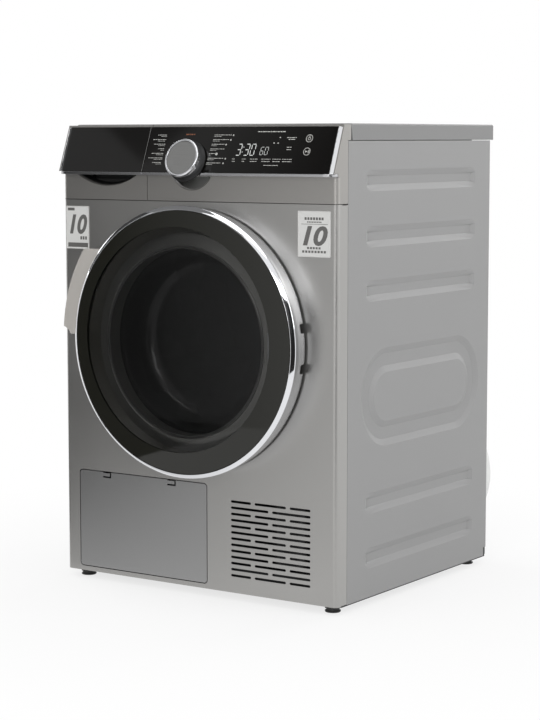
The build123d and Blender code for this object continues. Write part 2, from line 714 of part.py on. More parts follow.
def glass_outline(left, right, thickness):
    """Section of the glass across its slope, with its right or left end rolled back."""
    with BuildSketch(low_end) as outline:
        with BuildLine():
            if right > 0:
                Polyline((right - end_wrap, 0), (left, 0), (left, thickness), (right - end_wrap, thickness))
                Spline((right - end_wrap, thickness), (right - 1, end_drop + thickness),
                       tangents=((1, 0), (0.7, 0.7)))
                Line((right - 1, end_drop + thickness), (right, end_drop))
                Spline((right, end_drop), (right - end_wrap, 0), tangents=((-0.6, -0.8), (-1, 0)))
            else:
                Polyline((left + end_wrap, 0), (right, 0), (right, thickness), (left + end_wrap, thickness))
                Spline((left + end_wrap, thickness), (left + 1, end_drop + thickness),
                       tangents=((-1, 0), (-0.7, 0.7)))
                Line((left + 1, end_drop + thickness), (left, end_drop))
                Spline((left, end_drop), (left + end_wrap, 0), tangents=((0.6, -0.8), (1, 0)))
        make_face()
    return outline.sketch


fixed_left = split_x + seam / 2
drawer_right = split_x - seam / 2
dial_run = (dial_z - glass_low_z) / up_z
dial_plane = Plane(origin=(dial_x, depth(glass_low_y) + dial_run * up_y, dial_z), x_dir=(1, 0, 0),
                   z_dir=(0, -up_z, up_y))

with BuildPart() as control_glass:
    extrude(glass_outline(fixed_left, half, panel_glass_t), amount=glass_height + glass_trim)
    block(-half, half, -30, 40, glass_low_z - 12, glass_low_z, Mode.SUBTRACT)
    with BuildSketch(dial_plane):
        Circle(dial_hole_r)
    extrude(amount=-12, mode=Mode.SUBTRACT)
save(control_glass, "control_glass")

with BuildPart() as tank_glass:
    extrude(glass_outline(-half, drawer_right, panel_glass_t), amount=glass_height + glass_trim)
    block(-half, half, -30, 40, glass_low_z - 12, glass_low_z, Mode.SUBTRACT)
save(tank_glass, "tank_glass")

# the lip runs along the lower edge of the glass and turns back at the end of the front
lip_front = glass_low_y - 1.2
lip_turn = 22.0


def lip(left, right):
    with BuildPart() as rail:
        with BuildSketch(Plane.XY.offset(glass_low_z - lip_h - 0.4)) as plan:
            with BuildLine():
                if right > 0:
                    l1 = Line((left, depth(lip_front)), (right - lip_turn, depth(lip_front)))
                    l2 = Spline(l1 @ 1, (right, depth(-3)), tangents=((1, 0), (0.25, 1)))
                    l3 = Line(l2 @ 1, (right, depth(0)))
                    Polyline(l3 @ 1, (left, depth(0)), (left, depth(lip_front)))
                else:
                    l1 = Line((right, depth(lip_front)), (left + lip_turn, depth(lip_front)))
                    l2 = Spline(l1 @ 1, (left, depth(-3)), tangents=((-1, 0), (-0.25, 1)))
                    l3 = Line(l2 @ 1, (left, depth(0)))
                    Polyline(l3 @ 1, (right, depth(0)), (right, depth(lip_front)))
            make_face()
        extrude(amount=lip_h)
    return rail


fixed_lip = lip(fixed_left, half)
drawer_lip = lip(-half, drawer_right)
save(fixed_lip, "console_lip")
save(drawer_lip, "tank_lip")


def console_body(left, right):
    """The moulding behind a stretch of glass: strip below the lip, wedge behind the glass, end cheek."""
    low = glass_low_z - lip_h - 0.4
    behind = panel_glass_t + rolled_room
    with BuildPart() as body:
        with BuildSketch(Plane.YZ.offset(left)):
            with BuildLine():
                Polyline((depth(0), console_bottom), (depth(0), low - fit), (depth(0.4), low - fit),
                         (depth(0.4), glass_low_z),
                         (depth(glass_low_y) + behind * up_z + 0.4, glass_low_z),
                         (depth(glass_low_y) + behind * up_z + glass_height * up_y,
                          glass_low_z - behind * up_y + glass_height * up_z),
                         (depth(glass_low_y) + behind * up_z + glass_height * up_y + 1.5, console_top),
                         (depth(cover_front - 0.6), console_top), (depth(cover_front - 0.6), cover_bottom),
                         (depth(return_depth), cover_bottom), (depth(return_depth), console_bottom), close=True)
            make_face()
        extrude(amount=right - left)
    return body


knob_scoop_r = 50.0
lip_low = glass_low_z - lip_h - 0.4
with BuildPart() as console_frame:
    add(console_body(fixed_left, half).part)
    # rolled end of the glass has to be let in, and the front corner below is rounded
    extrude(glass_outline(fixed_left, half, panel_glass_t + rolled_room),
            amount=glass_height + glass_trim + 1, mode=Mode.SUBTRACT)
    with BuildSketch(Plane.XY.offset(console_bottom)) as corner:
        with Locations((half - corner_r / 2, depth(corner_r / 2))):
            Rectangle(corner_r, corner_r)
        with Locations((half - corner_r, depth(corner_r))):
            Circle(corner_r, mode=Mode.SUBTRACT)
    extrude(amount=glass_low_z - lip_h - 0.4 - fit - console_bottom, mode=Mode.SUBTRACT)
    # hollow for the electronics, open at the back
    block(fixed_left + 3, half - 3, 3, return_depth, console_bottom + 3, glass_low_z + 4, Mode.SUBTRACT)
    block(fixed_left + 3, half - 3, 20, cover_front, glass_low_z + 4, console_top - 3, Mode.SUBTRACT)
    # two lugs that seat the console on the front bulkhead
    for x in (fixed_left + 30, half - 60):
        block(x, x + 30, return_depth - 4, bulkhead_depth, console_bottom, console_bottom + 3)
    # scoop below the dial
    with BuildSketch(Plane(origin=(dial_x, depth(0), dial_z), x_dir=(1, 0, 0), z_dir=(0, -1, 0))):
        Circle(knob_scoop_r)
        with Locations((0, lip_low - dial_z + knob_scoop_r)):
            Rectangle(2 * knob_scoop_r, 2 * knob_scoop_r, mode=Mode.SUBTRACT)
    extrude(amount=-7, taper=40, mode=Mode.SUBTRACT)
    with BuildSketch(dial_plane):
        Circle(dial_hole_r)
    extrude(amount=-40, mode=Mode.SUBTRACT)
save(console_frame, "console_frame")

with BuildPart() as control_board:
    block(fixed_left + 3, half - 3, 24, 25.6, console_bottom + 60, console_top - 10)
    # display can, and the encoder that reads the dial
    block(half - 216, half - 86, 20.2, 24, console_bottom + 66, console_top - 14)
    with BuildSketch(dial_plane.offset(-38)):
        Circle(dial_hole_r - 1)
    extrude(amount=30)
    with BuildSketch(dial_plane.offset(-15)):
        Circle(dial_stem_r + run_fit)
    extrude(amount=7, mode=Mode.SUBTRACT)
save(control_board, "control_board")

# section through the dial: local x is the radius and local y the depth below the glass
dial_section = Plane(origin=dial_plane.origin, x_dir=dial_plane.x_dir, z_dir=(0, up_y, up_z))
dial_axis = Axis(dial_plane.origin, dial_plane.z_dir)
collar_foot = -1.8
collar_top = collar_foot - 2.8
face_top = -dial_proud + 1
face_foot = face_top + 3.6

with BuildPart() as dial_body:
    with BuildSketch(dial_section):
        with BuildLine():
            Polyline((0, 14), (dial_stem_r, 14), (dial_stem_r, collar_foot), (collar_r, collar_foot),
                     (collar_r, collar_top), (dial_r - 6.4, collar_top), (dial_r - 4.4, face_foot), (0, face_foot),
                     close=True)
        make_face()
    revolve(axis=dial_axis)
save(dial_body, "dial_body")

with BuildPart() as dial_ring:
    with BuildSketch(dial_section):
        with BuildLine():
            Polyline((dial_r - 4, -dial_proud), (dial_r - 1.2, -dial_proud), (dial_r, -dial_proud + 1.5),
                     (dial_r, -dial_proud + 6), (dial_r - 2.5, collar_top), (dial_r - 6, collar_top),
                     (dial_r - 4, face_foot), close=True)
        make_face()
    revolve(axis=dial_axis)
save(dial_ring, "dial_ring")

with BuildPart() as dial_face:
    with BuildSketch(dial_plane.offset(-face_foot)):
        Circle(dial_r - 4 - fit)
    extrude(amount=face_foot - face_top)
    chamfer(dial_face.edges().filter_by(GeomType.CIRCLE).sort_by(Axis.Y)[0], 0.4)
save(dial_face, "dial_face")

# ================================================================ water tank drawer
scoop_x = -half + 104.0
scoop_w = 138.0
scoop_drop = 20.5
scoop_r = (scoop_w**2 / 4 + scoop_drop**2) / (2 * scoop_drop)

with BuildPart() as tank_front:
    add(console_body(-half, drawer_right).part)
    extrude(glass_outline(-half, drawer_right, panel_glass_t + rolled_room),
            amount=glass_height + glass_trim + 1, mode=Mode.SUBTRACT)
    with BuildSketch(Plane.XY.offset(console_bottom)):
        with Locations((-half + corner_r / 2, depth(corner_r / 2))):
            Rectangle(corner_r, corner_r)
        with Locations((-half + corner_r, depth(corner_r))):
            Circle(corner_r, mode=Mode.SUBTRACT)
    extrude(amount=lip_low - fit - console_bottom, mode=Mode.SUBTRACT)
    # handle scoop: a smile that opens up behind the lip
    with BuildSketch(facing(0)) as smile:
        with Locations((scoop_x, lip_low - scoop_drop + scoop_r)):
            Circle(scoop_r)
        with Locations((scoop_x, glass_low_z + scoop_r)):
            Rectangle(2 * scoop_r, 2 * scoop_r, mode=Mode.SUBTRACT)
    extrude(amount=-14, taper=25, mode=Mode.SUBTRACT)
    block(scoop_x - 46, scoop_x + 46, 4, 26, lip_low - 8, lip_low + 26, Mode.SUBTRACT)
save(tank_front, "tank_front")


def tank_section(grow):
    """Section of the tank, whose floor climbs over the drum."""
    with BuildSketch() as section:
        with BuildLine():
            Polyline((tank_left, tank_floor), (tank_flat, tank_floor), (tank_right, tank_climb),
                     (tank_right, tank_top), (tank_left, tank_top), close=True)
        make_face()
        if grow:
            offset(amount=grow, kind=Kind.INTERSECTION)
    return section.sketch


tank_wall = 2.5
with BuildPart() as water_tank:
    extrude(facing(return_depth) * tank_section(0), amount=-(tank_back - return_depth))
    extrude(facing(return_depth + tank_wall) * tank_section(-tank_wall),
            amount=-(tank_back - return_depth - 2 * tank_wall), mode=Mode.SUBTRACT)
    # filling and pouring hole in the top
    post(tank_left + 40, 110, tank_top - tank_wall, tank_top, 14, Mode.SUBTRACT)
save(water_tank, "water_tank")

guide_front = return_depth + 4
with BuildPart() as tank_guide:
    extrude(facing(guide_front) * tank_section(guide_gap + guide_wall),
            amount=-(tank_back + guide_lap - guide_front))
    extrude(facing(guide_front) * tank_section(guide_gap), amount=-(tank_back + guide_lap - 3 - guide_front),
            mode=Mode.SUBTRACT)
    # rail that hangs the guide on the side panel
    block(-inner_half, tank_left - guide_gap, guide_front, tank_back + guide_lap, tank_floor + 52, tank_floor + 66)
save(tank_guide, "tank_guide")

# ================================================================ top cover
with BuildPart() as top_cover:
    with BuildSketch(Plane.YZ.offset(-half)):
        with BuildLine():
            Polyline((depth(cover_front), height), (depth(body_depth), height), (depth(body_depth), cover_bottom),
                     (depth(cover_front + 4.5), cover_bottom), close=True)
        make_face()
    extrude(amount=width)
    fillet(top_cover.edges().filter_by(Axis.Z), 4)
    fillet(top_cover.faces().sort_by(Axis.Z)[-1].edges(), 3)
    block(-half + 3, half - 3, cover_front + 9, body_depth - 3, cover_bottom, cover_ceiling, Mode.SUBTRACT)
save(top_cover, "top_cover")

# ================================================================ door
with BuildPart() as door_ring:
    with BuildSketch(turning(door_z)):
        with BuildLine():
            Polyline((ring_base_r, ring_base), (ring_front_r, ring_shoulder), (glass_r + 0.8, ring_crown),
                     (glass_r + 0.2, ring_crown), (glass_r + 0.2, ring_shoulder), (glass_r - 20, ring_shoulder),
                     (glass_r - 20, ring_shoulder + ring_wall), (ring_front_r - ring_wall - 0.6, ring_shoulder + ring_wall),
                     (ring_base_r - ring_wall, ring_base), close=True)
        make_face()
    revolve(axis=depth_axis(door_z))
    # notches that clear the hinge arms
    for side in (-1, 1):
        z = door_z + side * hinge_arm_z
        block(hinge_x - 6, half, -17.5, 0, z - 8, z + 8, Mode.SUBTRACT)
save(door_ring, "door_ring")

with BuildPart() as door_glass:
    with BuildSketch(turning(door_z)):
        with BuildLine():
            crown = Spline((0, -door_proud), (glass_r - 1.2, ring_crown + 0.4), tangents=((1, 0), (1, 0.05)))
            Polyline(crown @ 1, (glass_r, ring_crown + 1.4), (glass_r, ring_shoulder),
                     (glass_r - 18, ring_shoulder))
            Spline((glass_r - 18, ring_shoulder), (0, -door_proud + glass_t), tangents=((-1, -0.06), (-1, 0)))
            Line((0, -door_proud + glass_t), (0, -door_proud))
        make_face()
    revolve(axis=depth_axis(door_z))
save(door_glass, "door_glass")

rim_r = seal_r
frame_outer = ring_base_r - ring_wall - 0.5
with BuildPart() as door_inner_frame:
    with BuildSketch(turning(door_z)):
        with BuildLine():
            Polyline((bowl_r + 6, ring_shoulder + 6), (bowl_r + 9, ring_shoulder + 6), (bowl_r + 9, ring_base - 2.5),
                     (frame_outer, ring_base - 2.5), (frame_outer, ring_base), (rim_r, ring_base),
                     (rim_r, 5.7), (rim_r - 14, 5.7), (rim_r - 14, 2.7), (rim_r - 3, 2.7), (rim_r - 3, 0.2),
                     (bowl_r + 6, 0.2), close=True)
        make_face()
    revolve(axis=depth_axis(door_z))
    # pockets round the hinge arms, open to the right
    for side in (-1, 1):
        z = door_z + side * hinge_arm_z
        block(hinge_x - arm_reach - 6, half, ring_shoulder, 6, z - 9, z + 9, Mode.SUBTRACT)
save(door_inner_frame, "door_inner_frame")

with BuildPart() as door_bowl:
    with BuildSketch(turning(door_z)):
        with BuildLine():
            b1 = Line((bowl_r + 5.5, -6), (bowl_r + 5.5, 0))
            b2 = Line(b1 @ 1, (bowl_r, 0))
            b3 = Line(b2 @ 1, (bowl_r - 8, bowl_depth - 26))
            b4 = ThreePointArc(b3 @ 1, (bowl_r - 17, bowl_depth - 7), (bowl_r - 36, bowl_depth))
            b5 = Line(b4 @ 1, (0, bowl_depth))
            b6 = Line(b5 @ 1, (0, bowl_depth - bowl_wall))
            b7 = Line(b6 @ 1, (bowl_r - 37, bowl_depth - bowl_wall))
            b8 = ThreePointArc(b7 @ 1, (bowl_r - 20, bowl_depth - 11), (bowl_r - 13, bowl_depth - 27))
            b9 = Line(b8 @ 1, (bowl_r - 5, -6))
            Line(b9 @ 1, (bowl_r + 5.5, -6))
        make_face()
    revolve(axis=depth_axis(door_z))
save(door_bowl, "door_bowl")

with BuildPart() as door_handle:
    with BuildSketch(facing(handle_back)):
        with Locations((0, door_z)):
            Circle(handle_r)
            Circle(ring_front_r - 3, mode=Mode.SUBTRACT)
        with Locations((0, door_z + 2 - handle_r)):
            Rectangle(2 * handle_r, 2 * handle_r, mode=Mode.SUBTRACT)
        with Locations((0, handle_top_z + handle_r)):
            Rectangle(2 * handle_r, 2 * handle_r, mode=Mode.SUBTRACT)
        with Locations((handle_r, door_z)):
            Rectangle(2 * handle_r, 2 * handle_r, mode=Mode.SUBTRACT)
        # the lower end is cut back in a hollow curve for the fingers
        with Locations((-handle_r - 6, door_z - 8)):
            Circle(24, mode=Mode.SUBTRACT)
    extrude(amount=handle_back - handle_front)
    # finger hollow behind the outer rim
    with BuildSketch(facing(handle_back)):
        with Locations((0, door_z)):
            Circle(handle_r - 4)
            Circle(ring_front_r + 5, mode=Mode.SUBTRACT)
        with Locations((handle_r, door_z)):
            Rectangle(2 * handle_r, 2 * handle_r, mode=Mode.SUBTRACT)
        with Locations((0, handle_top_z + handle_r - 8)):
            Rectangle(2 * handle_r, 2 * handle_r, mode=Mode.SUBTRACT)
    extrude(amount=handle_back - handle_front - 4, mode=Mode.SUBTRACT)
    # the ring fits inside it
    with BuildSketch(turning(door_z)):
        with BuildLine():
            Polyline((0, ring_base), (ring_base_r + 0.1, ring_base), (ring_front_r + 0.1, ring_shoulder),
                     (0, ring_shoulder), close=True)
        make_face()
    revolve(axis=depth_axis(door_z), mode=Mode.SUBTRACT)
save(door_handle, "door_handle")

hinge_block_half = hinge_arm_z - arm_h / 2 - 2
with BuildPart() as door_hinge:
    post(hinge_x, hinge_y, door_z - hinge_block_half, door_z + hinge_block_half, 7)
    block(hinge_x - 30, hinge_x, hinge_y - 6, hinge_y + 6, door_z - hinge_block_half, door_z + hinge_block_half)
    block(hinge_x - 46, hinge_x - 24, hinge_y - 6, ring_base - 2.5, door_z - hinge_block_half,
          door_z + hinge_block_half)
    post(hinge_x, hinge_y, door_z - hinge_arm_z - arm_h / 2 - 2, door_z + hinge_arm_z + arm_h / 2 + 2, pin_r)
save(door_hinge, "door_hinge")

bracket_back = 12.5
with BuildPart() as hinge_bracket:
    for side in (-1, 1):
        z0 = door_z + side * hinge_arm_z - arm_h / 2
        z1 = z0 + arm_h
        post(hinge_x, hinge_y, z0, z1, 6)
        block(hinge_x - arm_reach - arm_t / 2, hinge_x, hinge_y - arm_t / 2, hinge_y + arm_t / 2, z0, z1)
        block(hinge_x - arm_reach - arm_t / 2, hinge_x - arm_reach + arm_t / 2, hinge_y - arm_t / 2, bracket_back,
              z0, z1)
        post(hinge_x, hinge_y, z0, z1, pin_r + run_fit, Mode.SUBTRACT)
    block(hinge_x - arm_reach - arm_t / 2, hinge_x - arm_reach + 40, bracket_back, bracket_back + 3,
          door_z - 62, door_z + 62)
    block(hinge_x - arm_reach + 12, hinge_x - arm_reach + 40, sheet, bracket_back, door_z - 62, door_z + 62)
save(hinge_bracket, "hinge_bracket")

with BuildPart() as door_hook:
    block(hook_x - 2.5, hook_x + 2.5, ring_base, 30, lock_z - 7, lock_z + 7)
    block(hook_x - 2.5, hook_x + 2.5, ring_base, ring_base + 4, lock_z - 14, lock_z + 14)
    block(hook_x - 2.5, hook_x + 2.5, 21, 27, lock_z - 3.5, lock_z + 3.5, Mode.SUBTRACT)
save(door_hook, "door_hook")

lock_wall = 2.0
with BuildPart() as door_lock:
    block(hook_x - 12, hook_x + 12, seat_depth + bulkhead_t, bulkhead_depth, lock_z - 20, lock_z + 34)
    block(hook_x - 12 + lock_wall, hook_x + 12 - lock_wall, seat_depth + bulkhead_t, bulkhead_depth - lock_wall,
          lock_z - 20 + lock_wall, lock_z + 20, Mode.SUBTRACT)
save(door_lock, "door_lock")

# ================================================================ service flap
flap_pivot_y = 4.5
flap_pivot_z = flap_bottom + 6.5
flap_foot = 10.0          # thickness of the flap's lower wall, which holds the hinge rod
with BuildPart() as service_flap:
    with BuildSketch(facing(0)):
        with Locations(((flap_left + flap_right) / 2, (flap_bottom + flap_top) / 2)):
            RectangleRounded(flap_right - flap_left, flap_top - flap_bottom, flap_corner)
    extrude(amount=-flap_rim)
    with BuildSketch(facing(sheet)):
        with Locations(((flap_left + flap_right) / 2, (flap_bottom + flap_foot + flap_top - sheet) / 2)):
            RectangleRounded(flap_right - flap_left - 2 * sheet, flap_top - flap_bottom - flap_foot - sheet,
                             flap_corner - sheet)
    extrude(amount=-flap_rim, mode=Mode.SUBTRACT)
    block(flap_left, flap_right, flap_pivot_y + 4, flap_rim, flap_bottom, flap_bottom + flap_foot + 4,
          Mode.SUBTRACT)
    # u-shaped cuts that free the two spring latches
    for x in latch_slots_x:
        block(x - 9.5, x + 9.5, 0, flap_rim, flap_top - 1.6, flap_top, Mode.SUBTRACT)
        block(x - 9.5, x + 9.5, 0, sheet, flap_top - 10.5, flap_top - 7.7, Mode.SUBTRACT)
        block(x + 6.5, x + 9.5, 0, sheet, flap_top - 10.5, flap_top - 1.6, Mode.SUBTRACT)
    with Locations(Location(((flap_left + flap_right) / 2, depth(flap_pivot_y), flap_pivot_z), (0, 90, 0))):
        Cylinder(1.5 + run_fit, flap_right - flap_left, mode=Mode.SUBTRACT)
save(service_flap, "service_flap")

with BuildPart() as flap_hinge:
    with Locations(Location(((flap_left + flap_right) / 2, depth(flap_pivot_y), flap_pivot_z), (0, 90, 0))):
        Cylinder(1.5, flap_right - flap_left + 2 * flap_gap + 8)
    for x in (flap_left - flap_gap - 4, flap_right + flap_gap + 1):
        block(x, x + 3, sheet, 9, flap_pivot_z - 4, flap_pivot_z + 4)
save(flap_hinge, "flap_hinge")

# ================================================================ inlets and fasteners
with BuildPart() as cord_inlet:
    rod(cord_x, cord_z, side_back, side_back + 8, cord_r + 4)
    rod(cord_x, cord_z, side_back - sheet - 4, side_back, cord_r - fit)
    rod(cord_x, cord_z, side_back - sheet - 4, side_back + 8, 4, Mode.SUBTRACT)
save(cord_inlet, "cord_inlet")

screw_low = 60.0
with BuildPart() as back_screws:
    for side in (-1, 1):
        for row in range(4):
            z = screw_low + row * (side_top - screw_low - 35) / 3
            rod(side * (inner_half - 14), z, side_back, side_back + 2.4, 4.5)
            rod(side * (inner_half - 14), z, side_back, side_back + 2.4, 1.4, Mode.SUBTRACT)
save(back_screws, "back_screws")

print("front_y", round(front_y, 3), "idler", round(idler_x, 2), round(idler_z, 2),
      "roller", round(roller_x, 2), round(roller_z, 2))
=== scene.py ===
# %% [markdown]
# # A front-loading clothes dryer, dressed in Blender
# The solids of the dryer come from its CAD model and keep their places. This lesson gives them their
# finishes, remakes the pieces whose gloss needs a finer surface, adds the printing on the control
# glass, and sets up a plain studio. All lengths are metres, +Z is up and the door faces -Y.

import json
import math

import bpy
from mathutils import Matrix, Vector

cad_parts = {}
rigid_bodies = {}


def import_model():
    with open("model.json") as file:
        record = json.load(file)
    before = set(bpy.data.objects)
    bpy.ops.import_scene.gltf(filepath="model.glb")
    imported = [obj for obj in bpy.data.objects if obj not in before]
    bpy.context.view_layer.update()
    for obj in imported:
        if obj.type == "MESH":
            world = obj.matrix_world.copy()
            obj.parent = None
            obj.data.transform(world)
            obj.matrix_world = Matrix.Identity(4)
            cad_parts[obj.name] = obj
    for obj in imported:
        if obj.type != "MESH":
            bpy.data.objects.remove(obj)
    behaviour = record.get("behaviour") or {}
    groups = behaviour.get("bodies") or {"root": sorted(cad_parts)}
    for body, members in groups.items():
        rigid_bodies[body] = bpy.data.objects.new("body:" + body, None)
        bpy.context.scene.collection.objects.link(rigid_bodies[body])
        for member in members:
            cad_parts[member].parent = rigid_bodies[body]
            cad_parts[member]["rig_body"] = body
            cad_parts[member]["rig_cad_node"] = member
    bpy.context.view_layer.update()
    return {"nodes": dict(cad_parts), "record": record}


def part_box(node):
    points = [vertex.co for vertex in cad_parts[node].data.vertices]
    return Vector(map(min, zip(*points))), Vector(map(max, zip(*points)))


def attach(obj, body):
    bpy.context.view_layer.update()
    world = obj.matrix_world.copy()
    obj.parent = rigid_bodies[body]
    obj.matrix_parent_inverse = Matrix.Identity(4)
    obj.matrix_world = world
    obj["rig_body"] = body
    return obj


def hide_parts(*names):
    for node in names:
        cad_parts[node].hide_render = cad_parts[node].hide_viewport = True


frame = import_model()
nodes = frame["nodes"]
body_of_node = {n: body for body, members in frame["record"]["behaviour"]["bodies"].items() for n in members}
slot_of_node = {s["node"]: s["material_slot"] for s in frame["record"]["subparts"]}

# %% [markdown]
# ## Lengths that several pieces share
# The front panel is the plane that everything on the front is measured from, and the door is round
# about the middle of its chrome ring. Both are read from the CAD pieces, so nothing here can drift
# away from them. The control glass leans back from its lower edge, so a point on it is found from
# its height above that edge.

# %% Shared lengths
MM = 0.001
DEEP = Vector((0, 1, 0))
low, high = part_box("front_panel")
FRONT_Y = low[1]
PANEL_LEFT = low[0]
PANEL_RIGHT = high[0]
PANEL_TOP = high[2]
low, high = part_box("door_ring")
DOOR_Z = (low[2] + high[2]) / 2
RING_R = round((high[2] - low[2]) / 2 / MM, 3)
low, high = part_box("control_glass")
GLASS_Y = low[1]
GLASS_Z = low[2]
GLASS_END = high[0]
LEAN = math.radians(20.9)
low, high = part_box("dial_body")
DIAL_X = (low[0] + high[0]) / 2


def depth(y_mm):
    """World y of a depth in millimetres behind the front panel."""
    return FRONT_Y + y_mm * MM


print("front panel at y =", round(FRONT_Y, 4), "and door ring of radius", RING_R, "mm")

# %% [markdown]
# ## Small helpers for working without a window
# An operator acts on everything that is selected, so each step first clears the selection and then
# picks its own object. A CAD mesh is loose triangles, so a copy is merged before it is shaped.

# %% Selection helpers


def pick(obj):
    """Make this the only selected and active object."""
    bpy.ops.object.select_all(action="DESELECT")
    obj.select_set(True)
    bpy.context.view_layer.objects.active = obj
    return obj


def active_named(name):
    """Name the object that an operator has just made."""
    obj = bpy.context.active_object
    obj.name = name
    obj.data.name = name
    return obj


def settle(obj):
    """Move the place of an object into its mesh, so that the object itself sits at the origin."""
    pick(obj)
    bpy.ops.object.transform_apply(location=True, rotation=True, scale=True)
    return obj


def block(name, middle, sizes):
    """A box from its middle and its three sizes."""
    bpy.ops.object.select_all(action="DESELECT")
    bpy.ops.mesh.primitive_cube_add(size=1, location=middle)
    obj = active_named(name)
    obj.scale = sizes
    return settle(obj)


def joined(objs, name):
    """One object from several."""
    bpy.ops.object.select_all(action="DESELECT")
    for obj in objs:
        obj.select_set(True)
    bpy.context.view_layer.objects.active = objs[0]
    if len(objs) > 1:
        bpy.ops.object.join()
    return settle(active_named(name))


print("selection helpers ready")

# %% [markdown]
# ## Shaping helpers
# Each adds one modifier and applies it at once, so that a piece is plain mesh when it is painted.

# %% Shaping helpers


def bevel(obj, width_mm, segments=3, angle=30):
    """Round the edges that are sharper than an angle."""
    pick(obj)
    mod = obj.modifiers.new("edge", "BEVEL")
    mod.width = width_mm * MM
    mod.segments = segments
    mod.limit_method = "ANGLE"
    mod.angle_limit = math.radians(angle)
    bpy.ops.object.modifier_apply(modifier=mod.name)
    return obj


def cut(obj, cutter):
    """Take a cutter out of an object and delete the cutter."""
    pick(obj)
    mod = obj.modifiers.new("cut", "BOOLEAN")
    mod.operation = "DIFFERENCE"
    mod.solver = "EXACT"
    mod.object = cutter
    bpy.ops.object.modifier_apply(modifier=mod.name)
    bpy.data.objects.remove(cutter, do_unlink=True)
    return obj


def smooth(obj, angle=30):
    """Shade smoothly, except over edges sharper than an angle."""
    pick(obj)
    bpy.ops.object.shade_smooth_by_angle(angle=math.radians(angle))
    return obj


def settle_light(obj):
    """Let large faces decide the shading, so that a flat panel stays flat beside its rounded edges."""
    pick(obj)
    mod = obj.modifiers.new("light", "WEIGHTED_NORMAL")
    mod.keep_sharp = True
    mod.weight = 60
    bpy.ops.object.modifier_apply(modifier=mod.name)
    return obj


def clean(obj, dissolve=True):
    """Merge doubled points and, where asked, join the triangles of flat faces."""
    pick(obj)
    bpy.ops.object.mode_set(mode="EDIT")
    bpy.ops.mesh.select_all(action="SELECT")
    bpy.ops.mesh.remove_doubles(threshold=0.01 * MM)
    if dissolve:
        bpy.ops.mesh.dissolve_limited(angle_limit=math.radians(0.3))
    bpy.ops.object.mode_set(mode="OBJECT")
    return obj


print("shaping helpers ready")

# %% [markdown]
# ## Pieces that stand for a CAD piece
# A dressed piece hides the CAD piece that it stands for and rides on the same body, so it moves with
# the same joint. Most are copies with rounded edges. Round pieces with a mirror finish are turned
# anew from their section, because a mirror shows every facet of a coarse mesh.

# %% Stand-in helpers


def stand_for(obj, node):
    """This piece replaces a CAD piece and rides on the same body."""
    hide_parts(node)
    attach(obj, body_of_node[node])
    return obj


def dressed(node, rounding_mm=0.0, segments=2, angle=30, smooth_angle=30, dissolve=True):
    """A merged copy of a CAD piece with rounded edges, standing for that piece."""
    pick(nodes[node])
    bpy.ops.object.duplicate()
    obj = active_named(node + "_skin")
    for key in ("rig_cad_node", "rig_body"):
        if key in obj:
            del obj[key]
    obj.parent = None
    clean(obj, dissolve)
    if rounding_mm:
        bevel(obj, rounding_mm, segments, angle)
    smooth(obj, smooth_angle)
    settle_light(obj)
    return stand_for(obj, node)


def turned(name, section, steps=192):
    """A piece turned on a lathe about the door's axis. section lists (radius, depth) in mm."""
    bpy.ops.object.select_all(action="DESELECT")
    bpy.ops.mesh.primitive_circle_add(vertices=len(section), radius=0.1, location=(0, 0, 0))
    obj = active_named(name)
    for point, (radius, deep) in zip(obj.data.vertices, section):
        point.co = (radius * MM, depth(deep), DOOR_Z)
    bpy.ops.object.mode_set(mode="EDIT")
    bpy.ops.mesh.select_all(action="SELECT")
    bpy.ops.mesh.spin(steps=steps, angle=math.tau, center=(0, 0, DOOR_Z), axis=DEEP)
    bpy.ops.mesh.select_all(action="SELECT")
    bpy.ops.mesh.remove_doubles(threshold=0.02 * MM)
    bpy.ops.mesh.normals_make_consistent(inside=False)
    bpy.ops.object.mode_set(mode="OBJECT")
    return obj


print("stand-in helpers ready")

# %% [markdown]
# ## Node helpers
# A material is a tree of nodes joined by links. These helpers add a node, join two nodes or work out
# a sum in one line each, and turn a display grey into the linear value that a shader expects.

# %% Node helpers


def srgb(value):
    """Linear value of a display grey from 0 to 255."""
    v = value / 255
    return v / 12.92 if v <= 0.04045 else ((v + 0.055) / 1.055) ** 2.4


def node_tools(mat):
    """The material's tree, a way to add a node and a way to join two nodes."""
    tree = mat.node_tree

    def add(kind, **sockets):
        n = tree.nodes.new(kind)
        for key, value in sockets.items():
            n.inputs[key.replace("_", " ")].default_value = value
        return n

    def join(a, out, b, into):
        tree.links.new(a.outputs[out], b.inputs[into])

    return tree, add, join


def maths(tree, operation, a, b=None):
    """A math node whose inputs are sockets or numbers."""
    n = tree.nodes.new("ShaderNodeMath")
    n.operation = operation
    for index, value in enumerate((a, b)):
        if value is None:
            continue
        if isinstance(value, (int, float)):
            n.inputs[index].default_value = value
        else:
            tree.links.new(value, n.inputs[index])
    return n.outputs["Value"]


def span(tree, u, v):
    """The long side of a right triangle whose legs are u and v."""
    squares = maths(tree, "ADD", maths(tree, "MULTIPLY", u, u), maths(tree, "MULTIPLY", v, v))
    return maths(tree, "SQRT", squares)


def object_axes(tree):
    """The object coordinates of a point, as sockets named X, Y and Z."""
    where = tree.nodes.new("ShaderNodeTexCoord")
    parts = tree.nodes.new("ShaderNodeSeparateXYZ")
    tree.links.new(where.outputs["Object"], parts.inputs["Vector"])
    return parts.outputs


print("node helpers ready")

# %% [markdown]
# ## Finishes
# Every finish starts from the same shader. No real surface is quite even, so its colour is broken up
# a little by a fine noise in object space, its roughness varies with a broad noise, and a fine bump
# keeps highlights from looking like computer plastic. Values that are the same all over a surface
# are set on the shader's own sockets.

# %% The finish maker


